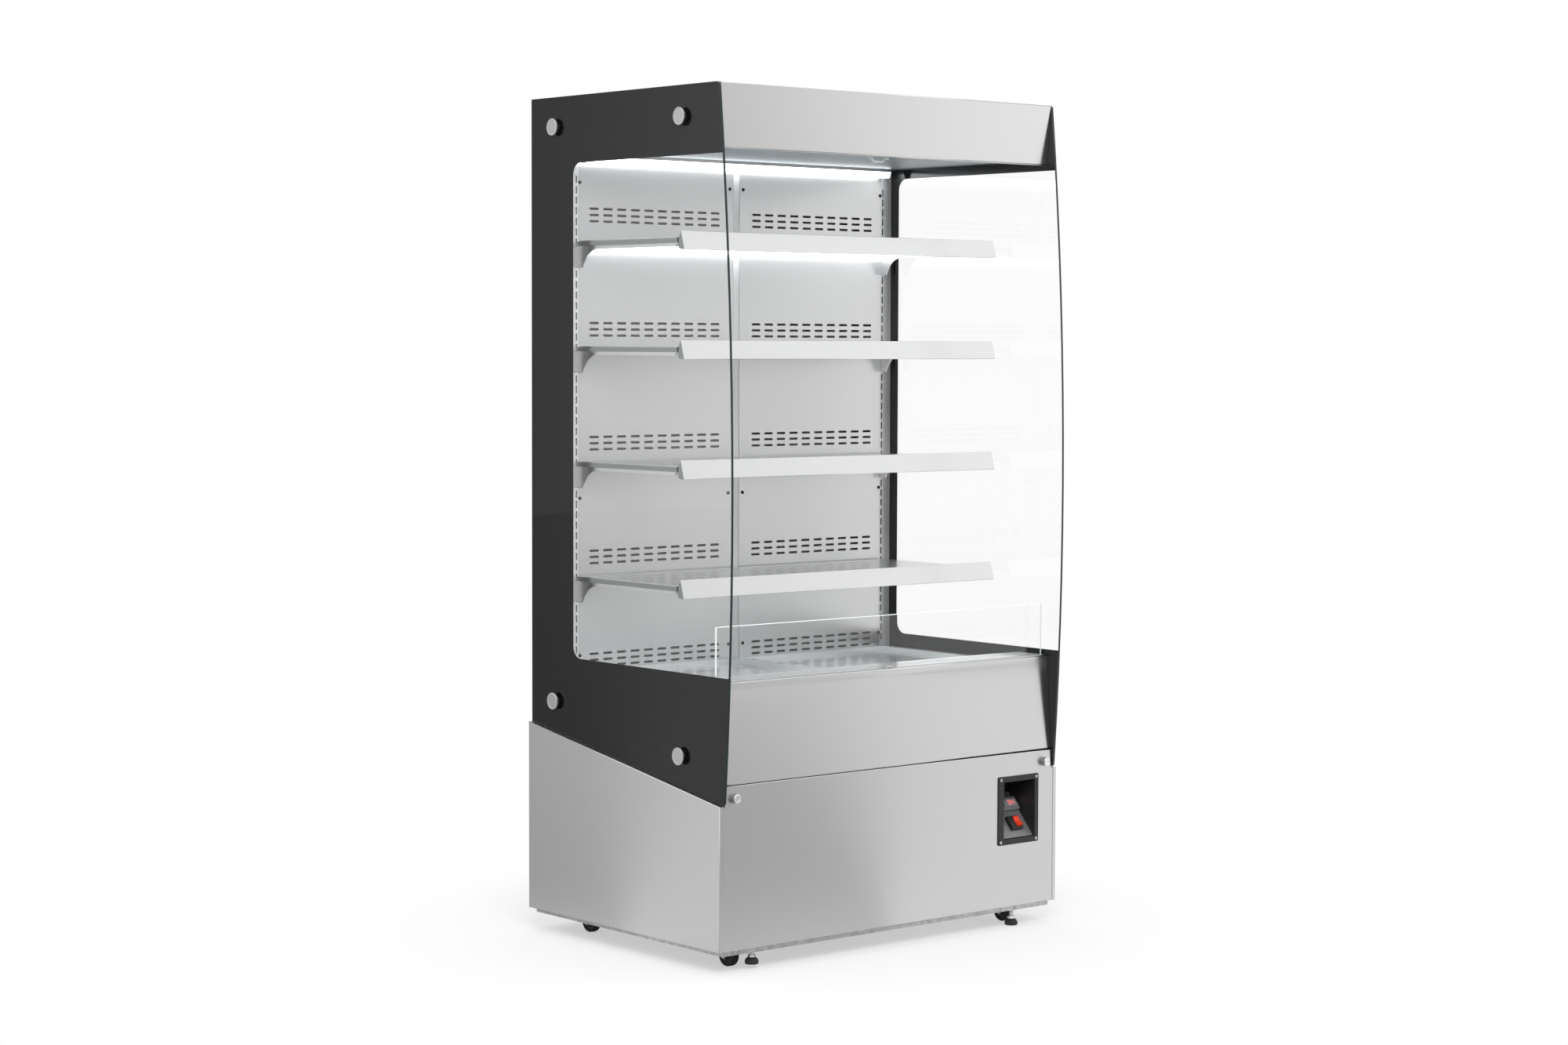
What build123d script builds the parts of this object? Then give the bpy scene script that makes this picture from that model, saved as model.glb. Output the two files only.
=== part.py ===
# Open-front chilled display case: glass sides, four shelves, a night curtain, and a machine base on castors.
# Millimetres. X runs left to right, Y front to back and Z up from the floor. While it is modelled, Y = 0 is
# the front of the base. The last lines move the origin to the floor under the middle of the whole case.
from build123d import *
from math import cos, hypot, pi, radians, sin
import os

os.makedirs("parts", exist_ok=True)

# Main sizes of the case
case_width = 1000.0          # over the base side panels
base_depth = 689.0           # front of the base to its back
floor_gap = 50.0             # floor to the lower edge of the base panels
side_front_height = 310.0    # base side panel, at its front edge
side_back_height = 426.0     # base side panel, at its back edge
service_panel_height = 352.0  # lower front panel
service_fold = 18.0          # depth of its folds
apron_height = 217.0         # sloping front panel above it
case_height = 1828.0         # lower edge of the base panels to the top
sheet = 1.5                  # gauge of the folded panels
touch = 0.3                  # gap between pieces that rest on each other but are not fastened face to face
running = 0.05               # radial clearance of an axle in its bore

# Side glasses
glass_gauge = 6.0
glass_step = 9.0             # base side face to the outer glass face
glass_bow = 33.0             # how far the front edge curves forward of its chord
glass_top_setback = 19.5     # front edge behind the front of the base, at the top
glass_foot_lead = 3.0        # front edge ahead of the front of the base, at the bottom
glass_corner = 8.0
cap_radius = 19.3            # round caps that clamp the glass
cap_gauge = 5.0
cap_standoff = 7.0
cap_stud = 6.0
cap_collar = 11.0
cap_from_front = 140.0
cap_from_back = 93.5
cap_from_top = 66.5
cap_over_side = 70.0         # lower caps over the sloping top of the base side

# Body behind the glass
body_clearance = 1.0         # glass to the body behind it
back_gauge = 48.0            # foamed back
duct_depth = 79.1            # foamed back to the front of the slotted air panels
tank_wall = 24.0             # foamed tub under the deck
tank_depth = 188.0           # outside, from the deck down
tank_front_y = 26.0
deck_drop = 21.0             # deck below the top of the apron
canopy_height = 126.0        # ceiling to the top

# Front
apron_foot_y = 4.2
apron_top_y = 15.8
fascia_height = 136.0
fascia_foot_y = 30.0
fascia_return = 13.0
sill_glass_gauge = 6.0
sill_glass_y = 32.0          # front face of the low front glass
sill_glass_rise = 118.0      # over the top of the apron
grille_back_y = 115.0        # rear edge of the air return grille
grille_pitch = 16.0
tray_dish_inset = 12.0       # tray's dish behind the grille's rear edge
tray_side_gap = 8.0
tray_back_gap = 2.5          # tray to the air panels, clear of their screws
tray_dish_depth = 8.0
tray_slot_rows = [200.0, 320.0, 440.0]  # behind the front of the base
outlet_rows = [112.0, 128.0, 144.0]  # air outlets in the ceiling, behind the front of the base
outlet_count = 14            # in each row

# Slotted uprights and the air panels between them
upright_wide = 33.0
slot_inset = 5.5             # shelf slots, from the inner edge of the upright
slot_pitch = 23.35
slot_tall = 16.0
slot_wide = 4.0
first_slot_drop = 55.7       # centre of the top slot below the ceiling
middle_strip = 9.4           # half width of the strip between the two air panels
panel_screw_inset = 3.5      # outer screws, from the uprights
panel_screw_drops = [62.0, 766.2, 1119.5]  # screw rows below the ceiling
air_slot_inset = 43.3        # outermost air slot's middle, from the uprights
air_slot_pitch = 38.6
air_slot_long = 26.0
air_slot_tall = 5.5
air_slot_row = 13.9
air_slot_drops = [119.4, 374.3, 629.5, 885.2, 1117.9]  # top row of each group below the ceiling

# Shelves: how many slots each one hangs below the top slot of the uprights, from the top shelf down
shelf_levels = [6, 16, 27, 38]
shelf_over_slot = 3.8        # shelf's top face over the centre of that slot
shelf_side_gap = 24.2        # shelf end to the side of the body
shelf_back_gap = 13.8        # shelf to the air panels
shelf_depth = 354.6          # flat part
lip_rise = 14.0              # lip top over the shelf's top face
lip_drop = 41.5              # lip top to lip foot
lip_top_reach = 10.6         # lip top ahead of the flat part
lip_foot_reach = 22.8        # lip foot ahead of it
shelf_fold = 12.0            # depth of the shelf's side folds
shelf_slot_rows = [58.0, 158.0, 258.0]  # behind the front of the flat part
shelf_slot_pitch = 100.0
bracket_inset = 8.3          # brackets' inner face, from the shelf end
bracket_gauge = 2.5
bracket_arm = 18.0
bracket_root = 58.0          # depth of the bracket at the upright

# Night curtain
curtain_y = 70.0             # where the bar parks under the canopy
curtain_catch_y = 22.0       # where it hooks on the apron
curtain_side_gap = 34.0      # curtain edge to the side of the body
roller_radius = 15.0
roller_rise = 63.0           # roller axis over the ceiling
roller_pin = 4.0
curtain_gauge = 0.8
bar_gauge = 8.0
bar_tall = 20.0
bar_rise = 5.0               # lower edge of the parked bar over the ceiling
handle_drop = 21.0           # how far the handle hangs below the ceiling
handle_half = 30.0
handle_gauge = 3.5

# LED battens
lamp_side_gap = 44.0
lamp_wide = 30.0
lamp_tall = 20.0
lamp_from_wall = 20.4        # batten's middle ahead of the air panels, under the ceiling
shelf_lamp_from_wall = 32.4  # and under the top shelf

# Thumbscrews of the lower front panel
screw_inset = 40.0           # from the side of the case
screw_drop = 26.5            # below the top of the panel
screw_shank = 3.0
screw_head = 10.0
screw_long = 12.0

# Control unit in the lower front panel
control_inset = 122.5        # middle of the bezel from the side of the case
control_drop = 129.8         # and below the top of the panel
bezel_wide = 127.8
bezel_tall = 157.0
bezel_proud = 3.0
window_shift = 2.5           # window's middle to the right of the bezel's
window_wide = 98.0
window_tall = 131.0
recess_depth = 92.0
recess_wall = 3.0
plate_tilt = 41.7            # sloping instrument plate, from the vertical
plate_run = 122.0            # its length up the slope
thermostat_wide = 77.0
thermostat_tall = 35.0
thermostat_proud = 9.0
thermostat_place = (9.5, 87.5)  # to the right of the window's middle, and up the slope
key_size = (8.6, 6.1, 3.0)
key_gap = 0.2
switch_size = 34.0
switch_proud = 10.0
switch_place = (8.0, 36.0)
rocker_pin = 1.5
rocker_tilt = 8.0

# Castors and levelling feet
castor_inset = 90.0          # from the side of the case
castor_from_front = 96.0     # front kingpins
castor_from_back = 118.0     # rear wheels, whose forks do not turn
castor_trail = 18.0
castor_height = 72.0
wheel_radius = 25.0
wheel_wide = 19.0
axle_radius = 4.0
foot_inset = 113.0
foot_y = 29.0
foot_radius = 15.0
foot_stud = 5.0
foot_gaps = {"left": 10.0, "right": 1.0}  # foot over the floor, as the case stands

# Base frame
frame_gauge = 2.5
frame_drop = 11.0            # rim's lower edge below the panels
frame_rise = 50.0            # rim's upper edge over their lower edge
frame_front_y = 8.0
frame_back_gap = 8.0
post_size = 30.0

# Louvred grille at the back of the base
louvre_count = 9
louvre_inner = 60.0          # windows, from the middle of the case
louvre_side = 84.0           # from the side of the body
louvre_low = 90.0            # from the lower edge of the base
louvre_high = 76.0           # from the top of the base's back

# Cold side of the machine
fan_plate_y = 97.0
fan_plate_gauge = 2.0
fan_radius = 59.0
fan_x = 200.0
fan_tip_gap = 3.0
motor_shaft = 4.0
coil_side_gap = 40.0
coil_deep = 80.0
coil_from_fans = 153.0       # evaporator coil behind the fan plate
coil_drop = 30.0             # its top below the deck
coil_tube_rises = [25.0, 65.0, 105.0]
coil_tube = 5.0

# Warm side of the machine
condenser_wide = 340.0
condenser_x = 210.0
condenser_deep = 50.0
condenser_tall = 280.0
condenser_from_back = 39.0
shroud_deep = 60.0
condenser_fan_radius = 118.0
compressor_x = -200.0
compressor_radius = 85.0
compressor_tall = 190.0
compressor_from_back = 259.0
drain_pan_x = (-85.0, 260.0)
drain_pan_front_y = 200.0
drain_pan_tall = 45.0
electrical_wide = 150.0
electrical_deep = 140.0
electrical_tall = 190.0
electrical_y = 80.0

# Places that follow from the sizes above
half = case_width / 2
base_z = floor_gap
top_z = base_z + case_height
glass_outer = half - glass_step
glass_inner = glass_outer - glass_gauge
body_half = glass_inner - body_clearance
back_y = base_depth - sheet
foam_y = back_y - back_gauge
rear_wall_y = foam_y - duct_depth
side_front_z = base_z + side_front_height
side_back_z = base_z + side_back_height
side_slope = (side_back_height - side_front_height) / base_depth
apron_foot_z = base_z + service_panel_height
sill_z = apron_foot_z + apron_height
deck_z = sill_z - deck_drop
tank_z = deck_z - tank_depth
ceiling_z = top_z - canopy_height
first_slot_z = ceiling_z - first_slot_drop
pan_z = castor_height
upright_inner = body_half - upright_wide
slot_column = upright_inner + slot_inset
shelf_half = body_half - shelf_side_gap
shelf_back_y = rear_wall_y - shelf_back_gap
shelf_front_y = shelf_back_y - shelf_depth
bracket_inner = shelf_half - bracket_inset
curtain_half = body_half - curtain_side_gap
roller_z = ceiling_z + roller_rise
roller_y = curtain_y + roller_radius + curtain_gauge / 2 + 0.1
tray_dish_y = grille_back_y + touch + tray_dish_inset
screw_x = half - screw_inset
screw_z = apron_foot_z - screw_drop
control_x = half - control_inset
control_z = apron_foot_z - control_drop
window_x = control_x + window_shift
castor_x = half - castor_inset
foot_x = half - foot_inset
fan_z = tank_z + 105.0
parts = {}


def block(x, y, z):
    """A box between two limits on each axis."""
    size = Box(x[1] - x[0], y[1] - y[0], z[1] - z[0])
    return Pos((x[0] + x[1]) / 2, (y[0] + y[1]) / 2, (z[0] + z[1]) / 2) * size


def run_x(outline, x):
    """A solid of one Y-Z outline between two places on X."""
    face = Plane.YZ.offset(x[0]) * make_face(Polyline(*outline, close=True))
    return extrude(face, amount=x[1] - x[0])


def rod(axis, place, radius, span):
    """A round bar along X, Y or Z. The place gives the two other coordinates."""
    bar = Cylinder(radius, span[1] - span[0])
    middle = (span[0] + span[1]) / 2
    if axis == "x":
        return Pos(middle, place[0], place[1]) * Rot(0, 90, 0) * bar
    if axis == "y":
        return Pos(place[0], middle, place[1]) * Rot(90, 0, 0) * bar
    return Pos(place[0], place[1], middle) * bar


def cut(solid, tools):
    """The solid less all the tools, in one cut."""
    return solid - list(tools)


def join(pieces):
    """Several overlapping or touching pieces as one solid."""
    first, *rest = pieces
    return first.fuse(*rest).clean() if rest else first


def mirrored(solid):
    """The same piece on the other side of the case."""
    return mirror(solid, about=Plane.YZ)


def strip(path, gauge):
    """Closed outline of a thin folded strip: a path of corners, with the gauge laid to its left."""
    normals = []
    for (y0, z0), (y1, z1) in zip(path, path[1:]):
        run = hypot(y1 - y0, z1 - z0)
        normals.append(((z0 - z1) / run, (y1 - y0) / run))
    corners = []
    for i, (y, z) in enumerate(path):
        before = normals[max(i - 1, 0)]
        after = normals[min(i, len(normals) - 1)]
        share = 1 + before[0] * after[0] + before[1] * after[1]
        lean = gauge / share
        corners.append((y + lean * (before[0] + after[0]), z + lean * (before[1] + after[1])))
    return path + corners[::-1]


def keep(name, *pieces):
    """Stores the solids of one named piece."""
    parts[name] = [solid for piece in pieces for solid in piece.solids()]


def side_top(y):
    """Height of the base side's sloping top at a depth."""
    return side_front_z + side_slope * y


def cap_places():
    """Depth and height of the four glass studs on a side."""
    back = base_depth - cap_from_back
    high = top_z - cap_from_top
    low_front = side_top(cap_from_front) + cap_over_side
    low_back = side_top(back) + cap_over_side
    return [(back, high), (cap_from_front, high), (back, low_back), (cap_from_front, low_front)]


def stud_bores(x_inner):
    """Clearance for the glass studs in a body wall, on both sides."""
    bores = []
    for place in cap_places():
        bore = rod("x", place, cap_stud + running, (x_inner, body_half + 1))
        bores += [bore, mirrored(bore)]
    return bores


def base_frame():
    """Welded frame: rim and pan, four posts, a cross rail, castor plates with kingpins, foot plates."""
    rim_y = (frame_front_y, base_depth - frame_back_gap)
    rim_z = (base_z - frame_drop, base_z + frame_rise)
    wall = frame_gauge
    lip = 16.0
    inner_x = (-body_half + wall, body_half - wall)
    inner_y = (rim_y[0] + wall, rim_y[1] - wall)
    rim = block((-body_half, body_half), rim_y, rim_z)
    hollow_low = block(inner_x, inner_y, (rim_z[0] + wall, pan_z))
    hollow_high = block(inner_x, inner_y, (pan_z + wall, rim_z[1] + 1))
    mouth_y = (inner_y[0] + lip, inner_y[1] - lip)
    mouth = block((inner_x[0] + lip, inner_x[1] - lip), mouth_y, (rim_z[0] - 1, pan_z))
    pieces = [cut(rim, [hollow_low, hollow_high, mouth])]
    posts = [(tank_front_y, tank_z), (inner_y[1] - post_size, side_back_z)]
    for side in (-1, 1):
        for y, top in posts:
            x = sorted((side * body_half, side * (body_half - post_size)))
            pieces.append(block(x, (y, y + post_size), (pan_z + wall - 0.5, top)))
    rail_z = apron_foot_z - 36.0
    rail_x = body_half - post_size
    pieces.append(block((-rail_x, rail_x), (tank_front_y, tank_front_y + post_size), (rail_z, rail_z + 20.0)))
    plate = 28.0
    pin_z = pan_z - 14.0
    for side in (-1, 1):
        x = side * castor_x
        plate_y = (castor_from_front - plate, castor_from_front + plate)
        pieces.append(block((x - plate, x + plate), plate_y, (pan_z - wall, pan_z + 0.5)))
        pieces.append(rod("z", (x, castor_from_front), axle_radius, (pin_z, pan_z)))
        pieces.append(rod("z", (x, castor_from_front), axle_radius + 2.5, (pin_z - 2, pin_z + 0.5)))
        foot = side * foot_x
        foot_z = rim_z[0] + wall
        pieces.append(block((foot - 20, foot + 20), (inner_y[0] - 0.5, foot_y + 16), (foot_z, foot_z + 4)))
    frame = join(pieces)
    holes = []
    for side in (-1, 1):
        for y, top in posts:
            x = sorted((side * (body_half - wall), side * (body_half - post_size + wall)))
            holes.append(block(x, (y + wall, y + post_size - wall), (pan_z + wall, top + 1)))
        holes.append(rod("z", (side * foot_x, foot_y), foot_stud + running, (rim_z[0] - 1, rim_z[0] + 10)))
        holes.append(rod("z", (side * foot_x, foot_y), foot_stud + 1.5, (pan_z - 5, pan_z + 5)))
        bore_y = (tank_front_y - 1, tank_front_y + 5)
        holes.append(rod("y", (side * screw_x, screw_z), screw_shank + running, bore_y))
    keep("base_frame", cut(frame, holes))


def base_sides():
    """Folded side panels of the base. Their sloping top fold carries the side glass."""
    outline = [(0, base_z), (base_depth, base_z), (base_depth, side_back_z), (0, side_front_z)]
    back = base_depth - sheet
    inside = [(sheet, base_z + sheet), (back, base_z + sheet), (back, side_top(back) - sheet),
              (sheet, side_top(sheet) - sheet)]
    fold_inner = body_half + 0.2
    panel = run_x(outline, (fold_inner, half)) - run_x(inside, (fold_inner - 1, half - sheet))
    notch_x = (fold_inner - 1, half - glass_step - 0.7)
    front_gap = block(notch_x, (-1, sheet + 0.5), (base_z - 1, side_front_z + 1))
    foot_gap = block(notch_x, (-1, service_fold + 1), (base_z - 1, base_z + sheet + 1))
    panel = cut(panel, [front_gap, foot_gap])
    keep("base_side_right", panel)
    keep("base_side_left", mirrored(panel))


def glass_outline():
    """Side glass outline: a bowed front edge, square back, and a foot cut along the base's sloping top."""
    front = -glass_foot_lead
    back = back_y + 0.3
    foot = (front, side_top(front) + touch)
    heel = (back, side_top(back) + touch)
    crown = (glass_top_setback, top_z)
    middle = ((foot[0] + crown[0]) / 2 - glass_bow, (foot[1] + crown[1]) / 2)
    bow = ThreePointArc(foot, middle, crown)
    rest = Polyline(crown, (back, top_z), heel, foot)
    face = make_face([bow, rest])
    corners = [v for v in face.vertices() if abs(v.X - foot[0]) < 1 or abs(v.X - crown[0]) < 1]
    return fillet(corners, glass_corner)


def side_glass():
    """Clear side panes with four stud holes, and the capped studs that clamp them to the body."""
    face = glass_outline()
    pane = extrude(Plane.YZ.offset(glass_inner) * face, amount=glass_gauge)
    studs = []
    holes = []
    cap_face = glass_outer + cap_standoff
    for place in cap_places():
        holes.append(rod("x", place, cap_stud + 1, (glass_inner - 1, glass_outer + 1)))
        disc = rod("x", place, cap_radius, (cap_face, cap_face + cap_gauge))
        disc = chamfer(disc.edges().sort_by(Axis.X)[-1], 0.8)
        collar = rod("x", place, cap_collar, (glass_outer, cap_face))
        washer = rod("x", place, cap_collar, (body_half, glass_inner))
        studs.append(join([disc, collar, washer, rod("x", place, cap_stud, (body_half - 12, cap_face + 1))]))
    pane = cut(pane, holes)
    keep("side_glass_right", pane)
    keep("side_glass_left", mirrored(pane))
    keep("glass_caps", *studs, *[mirrored(stud) for stud in studs])


def tank():
    """Foamed tub under the deck, with a drain and a middle rail for the deck trays."""
    outer = block((-body_half, body_half), (tank_front_y, foam_y), (tank_z, deck_z))
    inner_y = (tank_front_y + tank_wall, foam_y - tank_wall)
    hollow = block((-body_half + tank_wall, body_half - tank_wall), inner_y, (tank_z + tank_wall, deck_z + 1))
    rail = block((-10, 10), (tray_dish_y - 1 + touch, inner_y[1] + 1), (deck_z - 12, deck_z))
    drain = rod("z", (0, inner_y[1] - 40), 10, (tank_z - 1, tank_z + tank_wall + 1))
    tub = join([outer - hollow, rail])
    keep("tank", cut(tub, [drain] + stud_bores(body_half - 13)))


def fan_plate():
    """Baffle across the tub with two fan rings, their motors on three arms, and a rest for the trays."""
    span = body_half - tank_wall - touch
    low = tank_z + tank_wall
    high = deck_z - 0.2
    front = fan_plate_y
    motor_y = front + 22
    plate = block((-span, span), (front, front + fan_plate_gauge), (low, high))
    flange = block((-span, span), (front, tray_dish_y - 1), (high - fan_plate_gauge, high))
    rings = []
    bores = []
    arms = []
    ring = fan_radius + fan_tip_gap
    for x in (-fan_x, fan_x):
        place = (x, fan_z)
        bores.append(rod("y", place, ring, (front - 20, front + 14)))
        rings.append(rod("y", place, ring + fan_plate_gauge, (front - 10, front + 12)))
        arms.append(rod("y", place, 20, (motor_y, motor_y + 28)))
        arms.append(rod("y", place, motor_shaft, (front - 8, motor_y + 1)))
        for turn in (90, 210, 330):
            bar = block((15, ring + 2), (motor_y, motor_y + 4), (-4, 4))
            post = block((ring - 1, ring + 5), (front, motor_y + 4), (-4, 4))
            for piece in (bar, post):
                arms.append(Pos(x, 0, fan_z) * Rot(0, turn, 0) * piece)
    body = join([plate, flange] + rings)
    keep("evaporator_fan_plate", join([cut(body, bores)] + arms))


def fan_blades(radius, hub_radius, hub_long, chord, pitch):
    """A five-bladed fan about the Y axis at the origin, bored for the motor's shaft."""
    hub = rod("y", (0, 0), hub_radius, (-hub_long / 2, hub_long / 2))
    blades = []
    for i in range(5):
        blade = Rot(pitch, 0, 0) * block((hub_radius - 2, radius), (-0.8, 0.8), (-chord / 2, chord / 2))
        blades.append(Rot(0, 72 * i, 0) * blade)
    rotor = join([hub] + blades) & rod("y", (0, 0), radius, (-hub_long, hub_long))
    return rotor - rod("y", (0, 0), motor_shaft + running, (-hub_long, hub_long))


def evaporator():
    """Fin-and-tube coil across the tub, and the two fans that draw air through the front grille."""
    span = body_half - tank_wall - coil_side_gap
    coil_y = (fan_plate_y + coil_from_fans, fan_plate_y + coil_from_fans + coil_deep)
    coil_z = (tank_z + tank_wall, deck_z - coil_drop)
    fins = 15
    pieces = []
    for i in range(fins):
        x = -span + 2 * span * i / (fins - 1)
        pieces.append(block((x - 1, x + 1), coil_y, coil_z))
    for y in (coil_y[0] + coil_deep / 4, coil_y[1] - coil_deep / 4):
        for rise in coil_tube_rises:
            pieces.append(rod("x", (y, coil_z[0] + rise), coil_tube, (-span - 12, span + 12)))
    keep("evaporator_coil", join(pieces))
    for name, x in (("evaporator_fan_left", -fan_x), ("evaporator_fan_right", fan_x)):
        rotor = fan_blades(fan_radius, 16, 14, 40, 28)
        keep(name, Pos(x, fan_plate_y + 4, fan_z) * rotor)


def foamed_back():
    """Insulated back of the display, standing on the base's rear posts."""
    board = block((-body_half, body_half), (foam_y, back_y), (side_back_z + touch, top_z))
    keep("insulated_back", board)


def rear_grille():
    """Louvred cover over the back of the machine space."""
    face_y = (back_y, back_y + sheet)
    cover = block((-body_half, body_half), face_y, (base_z + 2, side_back_z - 1))
    opening_x = (louvre_inner, body_half - louvre_side)
    opening_z = (base_z + louvre_low, side_back_z - louvre_high)
    pitch = (opening_z[1] - opening_z[0]) / louvre_count
    slats = []
    windows = []
    for x in ((-opening_x[1], -opening_x[0]), opening_x):
        windows.append(block(x, (face_y[0] - 1, face_y[1] + 1), opening_z))
        for i in range(louvre_count):
            z = opening_z[0] + pitch * i
            blade = strip([(face_y[1], z + 1), (face_y[0] - 10, z + pitch * 0.6)], sheet)
            slats.append(run_x(blade, (x[0] - 0.5, x[1] + 0.5)))
        for cheek in (x[0] - sheet, x[1]):
            slats.append(block((cheek, cheek + sheet), (face_y[0] - 11, face_y[1]),
                               (opening_z[0] - 1, opening_z[1] + 1)))
    keep("rear_grille", join([cut(cover, windows)] + slats))


def uprights():
    """Two slotted shelf uprights, and the plain strip between the air panels. All stand on the back."""
    face_y = (rear_wall_y + 0.2, rear_wall_y + sheet + 0.2)
    z = (deck_z + touch, ceiling_z - touch)
    flange = 14.0
    channel = [block((upright_inner, body_half), face_y, z),
               block((upright_inner, upright_inner + sheet), (face_y[0], foam_y), z),
               block((body_half - sheet, body_half), (face_y[0], foam_y), z),
               block((upright_inner - flange, upright_inner + 1), (face_y[1], face_y[1] + sheet), z)]
    slots = []
    slot_x = (slot_column - slot_wide / 2, slot_column + slot_wide / 2)
    count = int((first_slot_z - z[0]) / slot_pitch)
    for i in range(count):
        middle = first_slot_z - slot_pitch * i
        slot_z = (middle - slot_tall / 2, middle + slot_tall / 2)
        slots.append(block(slot_x, (face_y[0] - 1, face_y[1] + 1), slot_z))
    upright = cut(join(channel), slots)
    strips = [block((-middle_strip, middle_strip), face_y, z)]
    for side in (-1, 1):
        x = sorted((side * middle_strip, side * (middle_strip - sheet)))
        strips.append(block(x, (face_y[0], foam_y), z))
        x = sorted((side * (middle_strip - 1), side * (middle_strip + flange + 6)))
        strips.append(block(x, (face_y[1], face_y[1] + sheet), z))
    keep("uprights", upright, mirrored(upright), join(strips))


def air_panels():
    """Two perforated panels between the uprights, fixed by twelve screws."""
    low = deck_z + touch
    high = ceiling_z - touch
    x = (middle_strip + touch, upright_inner - touch)
    y = (rear_wall_y, rear_wall_y + sheet)
    panel = block(x, y, (low, high))
    first = upright_inner - air_slot_inset
    columns = int((first - middle_strip - air_slot_inset) / air_slot_pitch) + 1
    cuts = []
    for drop in air_slot_drops:
        for row in range(3):
            z = ceiling_z - drop - air_slot_row * row
            if z - air_slot_tall < low:
                continue
            for column in range(columns):
                middle = first - air_slot_pitch * column
                slot_x = (middle - air_slot_long / 2, middle + air_slot_long / 2)
                slot_z = (z - air_slot_tall / 2, z + air_slot_tall / 2)
                cuts.append(block(slot_x, (y[0] - 1, y[1] + 1), slot_z))
    screws = []
    for drop in panel_screw_drops:
        for middle in (upright_inner - panel_screw_inset, middle_strip + 10.6):
            place = (middle, ceiling_z - drop)
            cuts.append(rod("y", place, 2.2, (y[0] - 1, y[1] + 1)))
            head = rod("y", place, 4.0, (y[0] - 1.8, y[0]))
            head = fillet(head.edges().sort_by(Axis.Y)[0], 1.0)
            screws.append(join([head, rod("y", place, 2.0, (y[0] - 0.5, y[1] + 0.2))]))
    panel = cut(panel, cuts)
    keep("air_panel_right", panel)
    keep("air_panel_left", mirrored(panel))
    keep("panel_screws", *screws, *[mirrored(screw) for screw in screws])


def canopy():
    """Folded canopy shell, the brushed fascia in front of it and the ceiling with the curtain slot."""
    foot_z = top_z - fascia_height
    front = fascia_foot_y + fascia_return + 1
    shell = block((-body_half, body_half), (front, foam_y), (ceiling_z + sheet, top_z))
    inside = block((-body_half + sheet, body_half - sheet), (front + sheet, foam_y + 1),
                   (ceiling_z, top_z - sheet))
    keep("canopy_box", cut(shell, [inside] + stud_bores(body_half - sheet - 1)))
    path = [(front - touch, top_z), (glass_top_setback, top_z), (fascia_foot_y, foot_z),
            (fascia_foot_y + fascia_return, foot_z)]
    keep("canopy_fascia", run_x(strip(path, sheet), (-body_half, body_half)))
    sheet_z = (ceiling_z, ceiling_z + sheet)
    ceiling = block((-body_half, body_half), (front, rear_wall_y - touch), sheet_z)
    slot_x = curtain_half + 6
    cuts = [block((-slot_x, slot_x), (curtain_y - 9, curtain_y + 9), (sheet_z[0] - 1, sheet_z[1] + 1))]
    pitch = 2 * (body_half - 54) / (outlet_count - 1)
    for row in outlet_rows:
        for i in range(outlet_count):
            x = -(body_half - 54) + pitch * i
            cuts.append(block((x - 28, x + 28), (row - 5, row + 5), (sheet_z[0] - 1, sheet_z[1] + 1)))
    ceiling = cut(ceiling, cuts)
    brackets = []
    for side in (-1, 1):
        x = sorted((side * (curtain_half + 13), side * (curtain_half + 16)))
        ear = block(x, (roller_y - 14, roller_y + 14), (sheet_z[1] - 0.5, roller_z + 12))
        brackets.append(ear - rod("x", (roller_y, roller_z), roller_pin + running, (x[0] - 1, x[1] + 1)))
    keep("ceiling_liner", join([ceiling] + brackets))


def curtain():
    """Sprung roller, the stretch of cloth below it, and the pull bar with its handle loop."""
    tube = rod("x", (roller_y, roller_z), roller_radius, (-curtain_half, curtain_half))
    pin = rod("x", (roller_y, roller_z), roller_pin, (-curtain_half - 17, curtain_half + 17))
    keep("curtain_roller", join([tube, pin]))
    bar_z = (ceiling_z + bar_rise, ceiling_z + bar_rise + bar_tall)
    cloth_y = (curtain_y - curtain_gauge / 2, curtain_y + curtain_gauge / 2)
    cloth = block((-curtain_half + 2, curtain_half - 2), cloth_y, (bar_z[1] + touch, roller_z))
    keep("curtain_fabric", cloth)
    bar = block((-curtain_half, curtain_half), (curtain_y - bar_gauge / 2, curtain_y + bar_gauge / 2), bar_z)
    bar = fillet(bar.edges().filter_by(Axis.X), 1.5)
    low = ceiling_z - handle_drop
    step = low + 7
    path = [(-handle_half, bar_z[0] + 1), (-handle_half, step), (-19, step), (-13, low)]
    path += [(-x, z) for x, z in reversed(path)]
    loop = make_face(Polyline(*strip(path, handle_gauge), close=True))
    handle = extrude(Plane.XZ.offset(-curtain_y - handle_gauge / 2) * loop, amount=handle_gauge)
    keep("curtain_bar", join([bar, handle]))


def lamps():
    """Two LED battens: one under the ceiling, and one between the top shelf's brackets."""
    w, t = lamp_wide / 2, lamp_tall
    section = [(-w, 0), (w, 0), (w, -6), (w - 6, -t), (6 - w, -t), (-w, -6)]
    shelf_lamp_z = shelf_top(0) - sheet - touch
    places = [(rear_wall_y - lamp_from_wall, ceiling_z - touch, body_half - lamp_side_gap),
              (rear_wall_y - shelf_lamp_from_wall, shelf_lamp_z, bracket_inner - touch)]
    battens = []
    for y, z, span in places:
        battens.append(run_x([(y + dy, z + dz) for dy, dz in section], (-span, span)))
    keep("lamps", *battens)


def shelf_top(level):
    """Height of a shelf's top face, which hangs from the slots of the uprights."""
    return first_slot_z - slot_pitch * shelf_levels[level] + shelf_over_slot


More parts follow.
